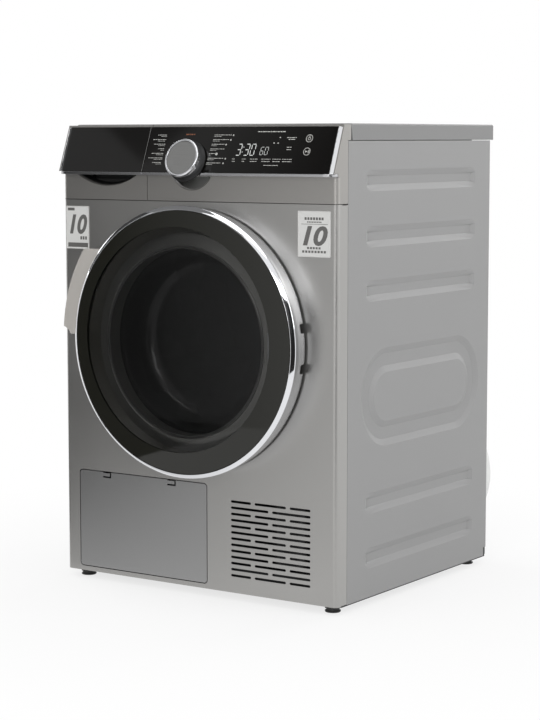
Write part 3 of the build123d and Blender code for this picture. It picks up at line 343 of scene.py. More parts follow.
def finish(name, colour, rough=0.4, metal=0.0, spread=0.04, grain=300.0, bump=0.02, rough_spread=0.05,
           coat=0.0, ior=1.45, stretch=(1, 1, 1), alpha=1.0):
    """A material. colour is display RGB from 0 to 255; grain is the noise's scale in 1/m."""
    mat = bpy.data.materials.new(name)
    mat.use_nodes = True
    tree, add, join = node_tools(mat)
    shader = tree.nodes["Principled BSDF"]
    shader.inputs["Metallic"].default_value = metal
    shader.inputs["IOR"].default_value = ior
    shader.inputs["Coat Weight"].default_value = coat
    shader.inputs["Coat Roughness"].default_value = 0.12
    shader.inputs["Alpha"].default_value = alpha
    place = add("ShaderNodeTexCoord")
    stretcher = add("ShaderNodeMapping")
    stretcher.inputs["Scale"].default_value = stretch
    join(place, "Object", stretcher, "Vector")
    fine = add("ShaderNodeTexNoise", Scale=grain, Detail=3.0, Roughness=0.6)
    broad = add("ShaderNodeTexNoise", Scale=7.0, Detail=2.0)
    join(stretcher, "Vector", fine, "Vector")
    join(place, "Object", broad, "Vector")
    tint = add("ShaderNodeMix")
    tint.name = "tint"
    tint.data_type = "RGBA"
    darker = [srgb(c) * (1 - spread) for c in colour]
    lighter = [min(1.0, srgb(c) * (1 + spread)) for c in colour]
    tint.inputs["A"].default_value = (*darker, 1)
    tint.inputs["B"].default_value = (*lighter, 1)
    join(fine, "Fac", tint, "Factor")
    join(tint, "Result", shader, "Base Color")
    spreader = add("ShaderNodeMapRange")
    spreader.inputs["To Min"].default_value = max(0.02, rough - rough_spread)
    spreader.inputs["To Max"].default_value = rough + rough_spread
    join(broad, "Fac", spreader, "Value")
    join(spreader, "Result", shader, "Roughness")
    if bump:
        relief = add("ShaderNodeBump", Strength=bump, Distance=0.4 * MM)
        relief.name = "relief"
        join(fine, "Fac", relief, "Height")
        join(relief, "Normal", shader, "Normal")
    return mat


def blend_into(mat, mask, colour):
    """Change a finish into a display colour where a mask is 1."""
    tree, add, join = node_tools(mat)
    other = add("ShaderNodeMix")
    other.data_type = "RGBA"
    other.inputs["B"].default_value = (*[srgb(c) for c in colour], 1)
    tree.links.new(mask, other.inputs["Factor"])
    join(tree.nodes["tint"], "Result", other, "A")
    join(other, "Result", tree.nodes["Principled BSDF"], "Base Color")


def paint(obj, mat):
    """Give an object this one material."""
    if obj.material_slots:
        for s in obj.material_slots:
            s.material = mat
    else:
        obj.data.materials.append(mat)
    return obj


print("finish maker ready")

# %% [markdown]
# ## The outer finishes
# The front is metallic silver lacquer over steel, and the console strip and the flap are moulded
# plastic sprayed to match it. The sides are a plain grey powder coat with a faint orange peel. The
# trims are chrome, and the console is glossy black glass. The door's glass and bowl are smoked, and
# part of the light goes through them.

# %% Outer finishes
finishes = {
    "panel_silver": finish("panel_silver", (167, 166, 164), rough=0.34, metal=0.9, spread=0.07, grain=900,
                           bump=0.04),
    "strip_silver": finish("strip_silver", (160, 158, 155), rough=0.37, metal=0.88, spread=0.06, grain=900,
                           bump=0.04),
    "drawer_silver": finish("drawer_silver", (160, 158, 155), rough=0.37, metal=0.88, spread=0.06,
                            grain=900, bump=0.04),
    "console_silver": finish("console_silver", (160, 158, 155), rough=0.37, metal=0.88, spread=0.06,
                             grain=900, bump=0.04),
    "flap_silver": finish("flap_silver", (155, 155, 155), rough=0.3, metal=0.88, spread=0.06, grain=900,
                          bump=0.04),
    "side_grey": finish("side_grey", (150, 150, 150), rough=0.5, spread=0.03, grain=420, bump=0.10),
    "top_grey": finish("top_grey", (133, 133, 133), rough=0.48, spread=0.03, grain=600, bump=0.06),
    "control_black": finish("control_black", (17, 16, 15), rough=0.06, spread=0.1, grain=60, bump=0.0,
                            ior=1.36, rough_spread=0.02),
    "chrome": finish("chrome", (228, 229, 232), rough=0.06, metal=1.0, spread=0.01, grain=120, bump=0.0,
                     rough_spread=0.03),
    "satin_trim": finish("satin_trim", (186, 186, 188), rough=0.2, metal=1.0, spread=0.02, grain=500,
                         bump=0.01),
    "brushed_face": finish("brushed_face", (150, 150, 149), rough=0.36, metal=0.75, spread=0.10, grain=900,
                           bump=0.06, stretch=(0.04, 1, 1)),
    "handle_grey": finish("handle_grey", (194, 190, 185), rough=0.2, metal=0.2, spread=0.03, grain=500,
                          bump=0.01, coat=0.5),
    "door_black": finish("door_black", (9, 9, 9), rough=0.04, spread=0.1, grain=40, bump=0.0, ior=1.42,
                         rough_spread=0.02),
    "bowl_clear": finish("bowl_clear", (38, 39, 38), rough=0.18, spread=0.02, grain=60, bump=0.0,
                         ior=1.5, alpha=0.72, rough_spread=0.03),
}
print(len(finishes), "outer finishes")

# %% [markdown]
# ## The inner finishes
# Behind the panels the dryer has moulded plastics with a fine spark-eroded grain, galvanised sheet
# with its broad spangle, felt round the drum, rubber on the belt and rollers, and bare aluminium fins.

# %% Inner finishes
finishes.update({
    "black_plastic": finish("black_plastic", (24, 24, 24), rough=0.45, spread=0.08, grain=1200, bump=0.08),
    "dark_plastic": finish("dark_plastic", (48, 49, 50), rough=0.55, spread=0.06, grain=900, bump=0.08),
    "door_liner": finish("door_liner", (78, 78, 76), rough=0.5, spread=0.04, grain=900, bump=0.06),
    "trim_grey": finish("trim_grey", (130, 130, 127), rough=0.16, metal=0.6, spread=0.04, grain=900,
                        bump=0.02),
    "bead_grey": finish("bead_grey", (120, 120, 118), rough=0.3, metal=0.8, spread=0.04, grain=900,
                        bump=0.02),
    "shroud_brown": finish("shroud_brown", (60, 59, 53), rough=0.3, spread=0.04, grain=900, bump=0.02),
    "grey_plastic": finish("grey_plastic", (150, 150, 148), rough=0.5, spread=0.04, grain=900, bump=0.06),
    "white_plastic": finish("white_plastic", (232, 233, 232), rough=0.45, spread=0.02, grain=600, bump=0.04),
    "seal_rubber": finish("seal_rubber", (46, 46, 47), rough=0.7, spread=0.08, grain=800, bump=0.12),
    "felt": finish("felt", (150, 146, 140), rough=0.95, spread=0.2, grain=2500, bump=0.5),
    "drum_steel": finish("drum_steel", (200, 201, 203), rough=0.28, metal=1.0, spread=0.05, grain=500,
                         bump=0.03, stretch=(1, 0.06, 1)),
    "drum_pierced": finish("drum_pierced", (200, 201, 203), rough=0.28, metal=1.0, spread=0.05, grain=500,
                           bump=0.03, stretch=(1, 0.06, 1)),
    "coil_aluminium": finish("coil_aluminium", (198, 199, 200), rough=0.4, metal=0.9, spread=0.06, grain=600,
                             bump=0.06),
    "motor_aluminium": finish("motor_aluminium", (178, 179, 180), rough=0.5, metal=0.8, spread=0.08,
                              grain=700, bump=0.2),
    "compressor_black": finish("compressor_black", (26, 26, 27), rough=0.25, spread=0.08, grain=300,
                               bump=0.04, coat=0.3),
    "zinc": finish("zinc", (176, 178, 180), rough=0.42, metal=0.85, spread=0.16, grain=60, bump=0.03),
    "shaft_steel": finish("shaft_steel", (190, 190, 192), rough=0.25, metal=1.0, spread=0.05, grain=600,
                          bump=0.02),
    "board_green": finish("board_green", (42, 108, 66), rough=0.4, spread=0.15, grain=300, bump=0.05),
    "tank_plastic": finish("tank_plastic", (214, 218, 218), rough=0.35, spread=0.03, grain=400, bump=0.03),
    "filter_grey": finish("filter_grey", (120, 126, 132), rough=0.6, spread=0.15, grain=2200, bump=0.3),
    "filter_mesh": finish("filter_mesh", (120, 126, 132), rough=0.6, spread=0.15, grain=900, bump=0.1),
    "foot_rubber": finish("foot_rubber", (44, 44, 44), rough=0.4, spread=0.08, grain=900, bump=0.06),
})
print(len(finishes), "finishes in all")

# %% [markdown]
# ## Holes in the drum and mesh in the filter
# A drum is pierced by rows of small holes and a lint filter by many more, still finer ones. Thousands
# of real holes would be a heavy mesh, so both are drawn by the finish. The drum's angle about its
# axis and its depth give two rulers, and the filter's are its width and height. Every second row is
# shifted by half a step, and a dark dimpled dot sits in the middle of each cell.

# %% Pierced finishes
DOT_FADE = 1.35
DENT_DEEP = 1.5 * MM


def dotted(mat, ruler_round, ruler_along, dot_radius, dark):
    """Darken and dent a finish where a grid of dots lies. The rulers count cells."""
    tree, add, join = node_tools(mat)
    shader = tree.nodes["Principled BSDF"]
    row = maths(tree, "FLOOR", ruler_along)
    shift = maths(tree, "MULTIPLY", maths(tree, "MODULO", row, 2.0), 0.5)
    u = maths(tree, "SUBTRACT", maths(tree, "FRACT", maths(tree, "ADD", ruler_round, shift)), 0.5)
    v = maths(tree, "SUBTRACT", maths(tree, "FRACT", ruler_along), 0.5)
    mask = add("ShaderNodeMapRange")
    mask.inputs["From Min"].default_value = dot_radius
    mask.inputs["From Max"].default_value = dot_radius * DOT_FADE
    tree.links.new(span(tree, u, v), mask.inputs["Value"])
    holes = add("ShaderNodeMix")
    holes.data_type = "RGBA"
    holes.inputs["A"].default_value = (dark, dark, dark, 1)
    join(mask, "Result", holes, "Factor")
    join(tree.nodes["tint"], "Result", holes, "B")
    join(holes, "Result", shader, "Base Color")
    dent = add("ShaderNodeBump", Strength=0.5, Distance=DENT_DEEP)
    join(mask, "Result", dent, "Height")
    join(tree.nodes["relief"], "Normal", dent, "Normal")
    join(dent, "Normal", shader, "Normal")


low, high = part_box("drum_shell")
DRUM_Z = (low[2] + high[2]) / 2
HOLES_ROUND = 72
HOLE_ROW_STEP = 22 * MM
MESH_STEP = 2.2 * MM
tree = finishes["drum_pierced"].node_tree
axes = object_axes(tree)
turn_angle = maths(tree, "ARCTAN2", maths(tree, "SUBTRACT", axes["Z"], DRUM_Z), axes["X"])
dotted(finishes["drum_pierced"], maths(tree, "MULTIPLY", turn_angle, HOLES_ROUND / math.tau),
       maths(tree, "MULTIPLY", axes["Y"], 1 / HOLE_ROW_STEP), dot_radius=0.11, dark=0.004)
tree = finishes["filter_mesh"].node_tree
axes = object_axes(tree)
dotted(finishes["filter_mesh"], maths(tree, "MULTIPLY", axes["X"], 1 / MESH_STEP),
       maths(tree, "MULTIPLY", axes["Z"], 1 / MESH_STEP), dot_radius=0.3, dark=0.01)
print("pierced drum and filter mesh ready")

# %% [markdown]
# ## Paint
# Every piece first gets the finish that its material slot names, so that nothing stays bare. The
# drum's shell is of the same steel as the drum's back, but it is pierced, so it gets that finish.

# %% Paint every piece
for node, obj in nodes.items():
    paint(obj, finishes[slot_of_node[node]])
paint(nodes["drum_shell"], finishes["drum_pierced"])
print("painted", len(nodes), "pieces")

# %% [markdown]
# ## Merged copies
# The seen pieces are copied and merged, and most are given the small rounded edges that pressed and
# moulded pieces have. A rounded edge catches a thin line of light, which is what makes a panel look
# made. The numbers are the rounding in millimetres and its steps.

# %% Round the edges of the seen pieces
rounded = {
    "top_cover": (1.2, 3), "console_frame": (0.6, 2), "tank_front": (0.6, 2), "service_flap": (0.5, 2),
    "front_panel": (0.4, 1), "back_panel": (0.0, 1), "fan_cover": (0.0, 1), "base_tray": (0.8, 2),
    "console_lip": (0.9, 3), "tank_lip": (0.9, 3), "control_glass": (0.5, 2), "tank_glass": (0.5, 2),
    "door_handle": (3.0, 4), "dial_body": (0.5, 2), "cord_inlet": (0.4, 2), "door_inner_frame": (0.6, 2),
    "water_tank": (1.5, 3), "door_hook": (0.6, 2), "lint_filter": (0.5, 2),
}
rounded.update({node: (0.3, 1) for node in nodes if node.startswith("foot_")})
skins = {}
for node, (width, segments) in rounded.items():
    skins[node] = dressed(node, width, segments)
    paint(skins[node], finishes[slot_of_node[node]])
paint(skins["lint_filter"], finishes["filter_mesh"])
paint(skins["door_inner_frame"], finishes["door_liner"])
paint(skins["service_flap"], finishes["flap_silver"])
print("rounded", len(skins), "pieces")

# %% [markdown]
# ## Side panels
# Each side is one steel sheet with shallow bars and a long ring pressed inwards. A press rounds every
# edge generously, so the copies get wide bevels.

# %% Soften the pressings
for node in ("side_panel_left", "side_panel_right"):
    skins[node] = dressed(node, 3.5, 3, angle=12, smooth_angle=60)
    paint(skins[node], finishes["side_grey"])
print("side panels softened")

# %% [markdown]
# ## The ledge behind the seam
# A moulded ledge lies behind the seam between the console and the front panel, so that nobody can
# look through the seam. It is set back from the outer faces and stays clear of the drawer above it.

# %% Seam ledge
console_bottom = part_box("console_frame")[0][2]
seam_height = console_bottom - PANEL_TOP
LEDGE_BACK = 2.2 * MM
LEDGE_DEEP = 16 * MM
seam_ledge = block("seam_ledge", (0, FRONT_Y + LEDGE_BACK + LEDGE_DEEP / 2, PANEL_TOP + seam_height / 2),
                   (2 * (PANEL_RIGHT - LEDGE_BACK), LEDGE_DEEP, 0.8 * seam_height))
bevel(seam_ledge, 0.2, 2)
smooth(seam_ledge)
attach(seam_ledge, "cabinet")
paint(seam_ledge, finishes["black_plastic"])
print("the seam is", round(seam_height / MM, 2), "mm high")

# %% [markdown]
# ## The chrome ring of the door
# The ring is a turned band: a side wall that flares towards you, a bevelled front edge and a ledge
# that carries the glass. It is turned anew with many steps, the two notches for the hinge arms are
# cut out, and its edges are rounded so that each shows its own line of light.

# %% Turn the door ring
RING_BACK = -4.5
RING_SHOULDER = -40.0
RING_CROWN = -46.0
GLASS_R = RING_R - 8.0
LEDGE_R = GLASS_R - 20.0
ring_section = [
    (RING_R - 5.0, RING_BACK), (RING_R - 3.4, -16.0), (RING_R - 1.6, -28.0), (RING_R, RING_SHOULDER + 1.0),
    (RING_R - 0.6, -41.4), (GLASS_R + 0.9, RING_CROWN), (GLASS_R + 0.2, RING_CROWN),
    (GLASS_R + 0.2, RING_SHOULDER), (LEDGE_R, RING_SHOULDER), (LEDGE_R, RING_SHOULDER + 3.0),
    (RING_R - 3.6, RING_SHOULDER + 3.0), (GLASS_R, RING_BACK),
]
HINGE_ARM_Z = 35 * MM
NOTCH_DEEP = 17.5
NOTCH_MIDDLE_X = (RING_R + 21.5) * MM
NOTCH_LONG = 89 * MM
NOTCH_TALL = 16 * MM
door_ring = turned("door_ring_skin", ring_section)
for side in (-1, 1):
    notch = block("notch", (NOTCH_MIDDLE_X, depth(-NOTCH_DEEP / 2), DOOR_Z + side * HINGE_ARM_Z),
                  (NOTCH_LONG, NOTCH_DEEP * MM, NOTCH_TALL))
    bevel(notch, 2.0, 3)
    cut(door_ring, notch)
bevel(door_ring, 0.35, 2, angle=25)
smooth(door_ring, 35)
stand_for(door_ring, "door_ring")
paint(door_ring, finishes["chrome"])
print("door ring has", len(door_ring.data.polygons), "faces")

# %% [markdown]
# ## The door glass
# The glass is a shallow dome, so its section is a long flat curve that drops away faster near the
# rim. It is turned anew from that section in many steps, because a glossy face shows every facet
# that a copy of the CAD piece would have.

# %% Turn the glass
DOME_STEPS = 24
DOME_DROP = 4.4
DOME_POWER = 2.4
GLASS_CROWN = -50.0
GLASS_T = 4.0
dome = []
for step in range(DOME_STEPS + 1):
    share = step / DOME_STEPS
    dome.append((share * (GLASS_R - 1.2), GLASS_CROWN + DOME_DROP * share ** DOME_POWER))
dome_back = [(radius, deep + GLASS_T) for radius, deep in dome[:-3]]
rim = [(GLASS_R, -44.6), (GLASS_R, RING_SHOULDER), (GLASS_R - 18, RING_SHOULDER)]
door_glass = turned("door_glass_skin", dome + rim + dome_back[::-1])
smooth(door_glass, 35)
stand_for(door_glass, "door_glass")
paint(door_glass, finishes["door_black"])
print("door glass has", len(door_glass.data.polygons), "faces")

# %% [markdown]
# ## The printed border of the glass
# The back of the glass is printed dark round the rim, which hides the outer edge of the parts behind
# it and most of the hinge arms. It could be a thin ring of its own, but a mask in the finish has a
# sharp edge and lies in the glass itself. The clear middle is a circle, a little away from the hinge
# and a little up. There the glass is smoked, so that the bowl and the inner frame show behind it.

# %% Print the border
BORDER_R = (RING_R - 42.0) * MM
BORDER_X = -9 * MM
BORDER_Z = DOOR_Z + 4 * MM
SMOKED_ALPHA = 0.3
tree, add, join = node_tools(finishes["door_black"])
axes = object_axes(tree)
climb = maths(tree, "SUBTRACT", axes["Z"], BORDER_Z)
aside = maths(tree, "SUBTRACT", axes["X"], BORDER_X)
from_middle = span(tree, climb, aside)
border = maths(tree, "GREATER_THAN", from_middle, BORDER_R)
blend_into(finishes["door_black"], border, (31, 31, 27))
see_through = add("ShaderNodeMapRange")
see_through.inputs["To Min"].default_value = SMOKED_ALPHA
tree.links.new(border, see_through.inputs["Value"])
join(see_through, "Result", tree.nodes["Principled BSDF"], "Alpha")
print("border starts", round(BORDER_R / MM), "mm from its middle")

# %% [markdown]
# ## Behind the glass
# A dark conical shroud leads from the rim to a grey trim that frames the bowl, and the trim ends in a
# thin bead. The shroud has a pocket on the hinge side, so that the hinge arms don't run into it. The
# bowl keeps its CAD shape with softer corners.

# %% Shroud, trim, bead and bowl
SHROUD_R = LEDGE_R - 6.4
TRIM_R = LEDGE_R - 20.0
BEAD_R = TRIM_R - 22.6
CONE_T = 1.6
TRIM_BACK = -24.4
TRIM_FRONT = -33.0
shroud_section = [(SHROUD_R, RING_SHOULDER - 1.8), (TRIM_R, TRIM_BACK - CONE_T), (TRIM_R, TRIM_BACK),
                  (SHROUD_R, RING_SHOULDER - 0.2)]
trim_section = [(TRIM_R - 0.1, TRIM_BACK - CONE_T), (BEAD_R + 0.2, TRIM_FRONT),
                (BEAD_R + 0.2, TRIM_FRONT + CONE_T), (TRIM_R - 0.1, TRIM_BACK)]
bead_section = [(BEAD_R, -33.2), (BEAD_R - 0.2, -34.6), (BEAD_R - 1.2, -35.2), (BEAD_R - 2.0, -34.4),
                (BEAD_R - 2.0, -31.4), (BEAD_R, -31.4)]
door_shroud = turned("door_shroud", shroud_section)
POCKET_X = 215 * MM
POCKET_SIZES = (40 * MM, 30 * MM, 150 * MM)
cut(door_shroud, block("hinge_pocket", (POCKET_X, depth(-30), DOOR_Z), POCKET_SIZES))
dressing = (
    (door_shroud, "shroud_brown"),
    (turned("door_trim", trim_section), "trim_grey"),
    (turned("door_bead", bead_section), "bead_grey"),
)
for piece, look in dressing:
    smooth(piece, 35)
    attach(piece, body_of_node["door_glass"])
    paint(piece, finishes[look])
door_bowl = dressed("door_bowl", 0.8, 3, dissolve=False)
paint(door_bowl, finishes["bowl_clear"])
print("shroud, trim, bead and bowl stand behind the glass")

# %% [markdown]
# ## The dial's bright ring and its face
# Both are round, so their copies keep every facet of the turned shape. The face is brushed sideways:
# the grain of its finish is stretched along X.

# %% Dial
for node, width in (("dial_ring", 0.5), ("dial_face", 0.2)):
    skins[node] = dressed(node, width, 3, dissolve=False)
    paint(skins[node], finishes[slot_of_node[node]])
print("dial rounded")

# %% [markdown]
# ## Finishes that change across one piece
# The control glass is rolled back at both ends and metallised there, so its ends shine. Inside the
# drawer's finger scoop the finish is darkened to a painted shade, for the shade that falls in the
# recess, and the scoop below the dial is lightened to a painted reflection of the bright room. Each
# change follows one object axis.

# %% Rolled ends and the scoops


def across(mat, axis, edge, reach, colour, metal, both_ends=False, scoop=None):
    """Blend a finish into another colour and metalness past an edge along one object axis.

    scoop keeps the change to one scoop of the strip below the glass, given as its middle and half its
    width along X.
    """
    tree, add, join = node_tools(mat)
    shader = tree.nodes["Principled BSDF"]
    axes = object_axes(tree)
    ruler = maths(tree, "ABSOLUTE", axes[axis]) if both_ends else axes[axis]
    past = add("ShaderNodeMapRange")
    past.inputs["From Min"].default_value = edge
    past.inputs["From Max"].default_value = edge + reach
    tree.links.new(ruler, past.inputs["Value"])
    mask = past.outputs["Result"]
    if scoop is not None:
        middle, half_width = scoop
        aside = maths(tree, "ABSOLUTE", maths(tree, "SUBTRACT", axes["X"], middle))
        mask = maths(tree, "MULTIPLY", mask, maths(tree, "LESS_THAN", aside, half_width))
        mask = maths(tree, "MULTIPLY", mask, maths(tree, "LESS_THAN", axes["Z"], GLASS_Z))
    blend_into(mat, mask, colour)
    shine = add("ShaderNodeMapRange")
    shine.inputs["To Min"].default_value = shader.inputs["Metallic"].default_value
    shine.inputs["To Max"].default_value = metal
    tree.links.new(mask, shine.inputs["Value"])
    join(shine, "Result", shader, "Metallic")


ROLLED_END = 9 * MM
ROLLED_FADE = 1 * MM
SCOOP_EDGE = FRONT_Y + 0.5 * MM
SCOOP_FADE = 5 * MM
DRAWER_SCOOP = (PANEL_LEFT + 104 * MM, 72 * MM)
DIAL_SCOOP = (DIAL_X, 52 * MM)
across(finishes["control_black"], "X", GLASS_END - ROLLED_END, ROLLED_FADE, (225, 226, 228), 1.0,
       both_ends=True)
# Painted shade: the drawer's finger scoop is darkened to near black, for the shade that falls inside the
# recess.
across(finishes["drawer_silver"], "Y", SCOOP_EDGE, SCOOP_FADE, (16, 16, 16), 0.0, scoop=DRAWER_SCOOP)
# Painted reflection: the scoop below the dial is lightened and made less metallic, so that it shows as
# bright as a reflection of the room.
across(finishes["console_silver"], "Y", SCOOP_EDGE, SCOOP_FADE, (236, 236, 234), 0.15, scoop=DIAL_SCOOP)
paint(skins["tank_front"], finishes["drawer_silver"])
paint(skins["console_frame"], finishes["console_silver"])
print("rolled ends and scoops ready")

# %% [markdown]
# ## Printing on the control glass
# The glass carries pale printing: short two-line labels for the programmes on both sides of the dial,
# a display with slanted seven-bar digits, and two round touch keys. Each mark is a thin flat piece
# laid just above the glass. The labels are plain bars, because only their rhythm is seen.

# %% Marks on a leaning face
ABOVE = 0.12 * MM
SLANT = 0.16
WORD_LENGTHS = (5.0, 3.2, 6.1, 2.4)
WORD_GAP = 1.0
SHORTEST_WORD = 1.2


def tilt_onto_glass(obj, x, z, width, tall):
    """Lay a flat primitive on the glass with its middle at x and z in millimetres."""
    climb = z * MM - GLASS_Z
    obj.rotation_euler = (math.radians(90) - LEAN, 0, 0)
    obj.scale = (width * MM, tall * MM, 1)
    obj.location = (x * MM, GLASS_Y + climb * math.tan(LEAN) - ABOVE, z * MM)
    return obj


def bar(x, z, width, tall):
    """One thin bar on the glass, for the print and for the painted highlight on the drawer glass's edge."""
    bpy.ops.object.select_all(action="DESELECT")
    bpy.ops.mesh.primitive_plane_add(size=1)
    return tilt_onto_glass(active_named("bar"), x, z, width, tall)


def words(x, z, width, tall):
    """A run of short bars that reads as small print, starting at x."""
    made = []
    start = x
    index = int(abs(x) + z) % len(WORD_LENGTHS)
    while start < x + width - SHORTEST_WORD:
        length = min(WORD_LENGTHS[index], x + width - start)
        made.append(bar(start + length / 2, z, length, tall))
        start += length + WORD_GAP
        index = (index + 1) % len(WORD_LENGTHS)
    return made


def ring_mark(x, z, radius, thick):
    """A printed ring."""
    bpy.ops.object.select_all(action="DESELECT")
    bpy.ops.mesh.primitive_circle_add(vertices=40, radius=1, fill_type="NGON")
    obj = active_named("ring")
    bpy.ops.object.mode_set(mode="EDIT")
    bpy.ops.mesh.select_all(action="SELECT")
    bpy.ops.mesh.inset(thickness=thick / radius)
    bpy.ops.mesh.delete(type="FACE")
    bpy.ops.object.mode_set(mode="OBJECT")
    return tilt_onto_glass(obj, x, z, radius, radius)


print("printing tools ready")

# %% [markdown]
# ## Programme labels
# Seven rows stand on each side of the dial. A row is a longer line over a shorter one. The rows on the
# left end beside the dial, and most rows on the right are followed by a small round mark.

# %% Label columns
TOP_ROW_Z = 825.5
ROW_PITCH = 8.1
SECOND_LINE_DROP = 2.6
LONG_LINE = 1.0
SHORT_LINE = 0.7
left_widths = (20, 29, 25, 13, 26, 31, 21)
right_widths = (37, 34, 27, 31, 12, 34, 32)
UNMARKED_ROW = 3
FULL_MARK_ROW = 4
labels = []
for row, width in enumerate(left_widths):
    z = TOP_ROW_Z - row * ROW_PITCH
    edge = -66 + 0.1 * row
    labels += words(edge - width, z, width, LONG_LINE)
    labels += words(edge - 0.6 * width, z - SECOND_LINE_DROP, 0.6 * width, SHORT_LINE)
for row, width in enumerate(right_widths):
    z = TOP_ROW_Z - row * ROW_PITCH
    edge = 38 - 0.8 * row
    labels += words(edge, z, width, LONG_LINE)
    labels += words(edge, z - SECOND_LINE_DROP, 0.42 * width, SHORT_LINE)
    if row != UNMARKED_ROW:
        radius, thick = (2.4, 2.2) if row == FULL_MARK_ROW else (1.5, 1.2)
        labels.append(ring_mark(edge + width + 4, z - 0.6, radius, thick))
print(len(labels), "label marks")

# %% [markdown]
# ## Display
# The digits are built from the seven bars of a display. Which bars are lit for a digit is written as
# letters: a is the top bar, then clockwise round to f, and g is the bar in the middle.

# %% Digits
lit = {"0": "abcdef", "3": "abcdg", "6": "acdefg"}


def digit(sign, x, z, width, tall, thick):
    """A slanted seven-bar digit whose lower left corner is at x and z."""
    half = tall / 2
    places = {"a": (width / 2, tall), "g": (width / 2, half), "d": (width / 2, 0),
              "f": (0, 1.5 * half), "b": (width, 1.5 * half), "e": (0, half / 2), "c": (width, half / 2)}
    made = []
    for letter in lit[sign]:
        dx, dz = places[letter]
        lean_x = x + dx + SLANT * dz
        if letter in "adg":
            made.append(bar(lean_x, z + dz, width - thick, thick))
        else:
            made.append(bar(lean_x, z + dz, thick, half - thick))
    return made


display = []
for sign, x in (("3", 92.0), ("3", 108.5), ("0", 121.0)):
    display += digit(sign, x, 790.5, 8.0, 19.0, 1.5)
display += [bar(104.6, 796.0, 1.7, 1.7), bar(106.4, 804.5, 1.7, 1.7)]
for sign, x in (("6", 141.5), ("0", 151.0)):
    display += digit(sign, x, 791.5, 6.0, 13.0, 0.8)
print(len(display), "display bars")

# %% [markdown]
# ## Small marks
# Short captions stand under, over and beside the display, and three small rings stand over it at the
# right. The captions are made as the programme labels are, from bars of uneven lengths.

# %% Small marks
small = []
for x, width in ((86, 8), (107, 9), (124, 17), (148, 19), (171, 17), (191, 21)):
    small += words(x, 784.0, width, 0.9)
    small += words(x + 1, 780.0, width - 2, 1.1)
small += words(129, 831.0, 58, 1.5)
small += words(155, 773.4, 32, 1.0)
for x, z in ((178, 821), (167.5, 811.5), (176, 811.5)):
    small.append(ring_mark(x, z, 1.2, 1.0))
small += words(192, 820.8, 21, 1.2) + words(196, 817.8, 13, 1.2)
small += words(196, 804.4, 11, 1.1) + words(196, 800.4, 11, 1.1)
print(len(small), "small marks")

# %% [markdown]
# ## Touch keys
# A touch key is only a printed ring round a sign. The sign of the upper key is a small ring with a
# short bar at its top, and that of the lower one is an arrow and two bars. The arrow is a circle of
# three corners, turned to point at the bars.

# %% Touch keys
KEY_X = 238
UPPER_KEY_Z = 819.5
LOWER_KEY_Z = 797.3
KEY_R = 7.0
keys = [
    ring_mark(KEY_X, UPPER_KEY_Z, KEY_R, 1.0), ring_mark(KEY_X, LOWER_KEY_Z, KEY_R, 1.0),
    ring_mark(KEY_X, UPPER_KEY_Z - 0.3, 3.0, 0.9), bar(KEY_X, UPPER_KEY_Z + 3.1, 1.2, 4.0),
    bar(KEY_X + 2.6, LOWER_KEY_Z, 1.0, 4.6), bar(KEY_X + 4.4, LOWER_KEY_Z, 1.0, 4.6),
]
bpy.ops.object.select_all(action="DESELECT")
bpy.ops.mesh.primitive_circle_add(vertices=3, radius=1, fill_type="NGON")
arrow = tilt_onto_glass(active_named("arrow"), KEY_X - 1.8, LOWER_KEY_Z, 2.6, 2.6)
arrow.rotation_euler.rotate_axis("Z", math.radians(-90))
keys.append(arrow)
print(len(keys), "marks on the keys")

# %% [markdown]
# ## The bright edge of the drawer's glass
# The drawer has its own piece of the glass, and the cut edge of that piece catches the light as a pale
# upright line. It could be a bevel, but one so small would be lost, so the line is a painted highlight
# on a thin bar. The bar rides with the drawer.

# %% Bright edge of the drawer's glass
EDGE_WIDE = 0.7
EDGE_INSET = 0.5
low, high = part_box("tank_glass")
edge_tall = (high[2] - low[2]) / math.cos(LEAN) / MM - 2
seam_light = bar(high[0] / MM - EDGE_INSET, (low[2] + high[2]) / 2 / MM, EDGE_WIDE, edge_tall)
print("edge of the drawer's glass at x =", round(high[0], 4))

# %% [markdown]
# ## Inks
# Screen-printed ink is matt and a little uneven. The display is brighter than the labels, and one
# short mark above the dial is a dull orange.

# %% Join the printing and ink it
ink_white = finish("ink_white", (188, 188, 184), rough=0.6, spread=0.10, grain=1500, bump=0.03)
ink_display = finish("ink_display", (214, 216, 214), rough=0.5, spread=0.04, grain=1500, bump=0.0)
# The edge bar's grey is no ink: it is a painted highlight, the light caught by the drawer glass's cut edge.
painted_edge_highlight = finish("painted_edge_highlight", (128, 128, 126), rough=0.4, spread=0.05, grain=600, bump=0.0)
ink_orange = finish("ink_orange", (122, 74, 50), rough=0.6, spread=0.10, grain=1500, bump=0.03)
printing = {
    "print_labels": (labels + small, ink_white),
    "print_display": (display, ink_display),
    "print_keys": (keys, ink_white),
    "drawer_glass_edge": ([seam_light], painted_edge_highlight),
    "print_ready": (words(-24, 826.5, 20, 2.2), ink_orange),
}
for name, (marks, ink) in printing.items():
    piece = joined(marks, name)
    paint(piece, ink)
    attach(piece, body_of_node["tank_glass"] if name == "drawer_glass_edge" else "cabinet")
print("printed", ", ".join(printing))

# %% [markdown]
# ## Labels on the front panel
# Two paper labels sit on the panel beside the door. Each is a thin sheet with rounded corners, a large
# plain number, and bars and short blocks that stand for small print.

# %% Label maker
PAPER_T = 0.25
INK_LIFT = 0.06
CORNER_R = 1.6
CAPITAL_SHARE = 0.7
paper = finish("label_paper", (208, 208, 206), rough=0.45, spread=0.03, grain=260, bump=0.02)
label_ink = finish("label_ink", (96, 95, 93), rough=0.5, spread=0.10, grain=900, bump=0.02)


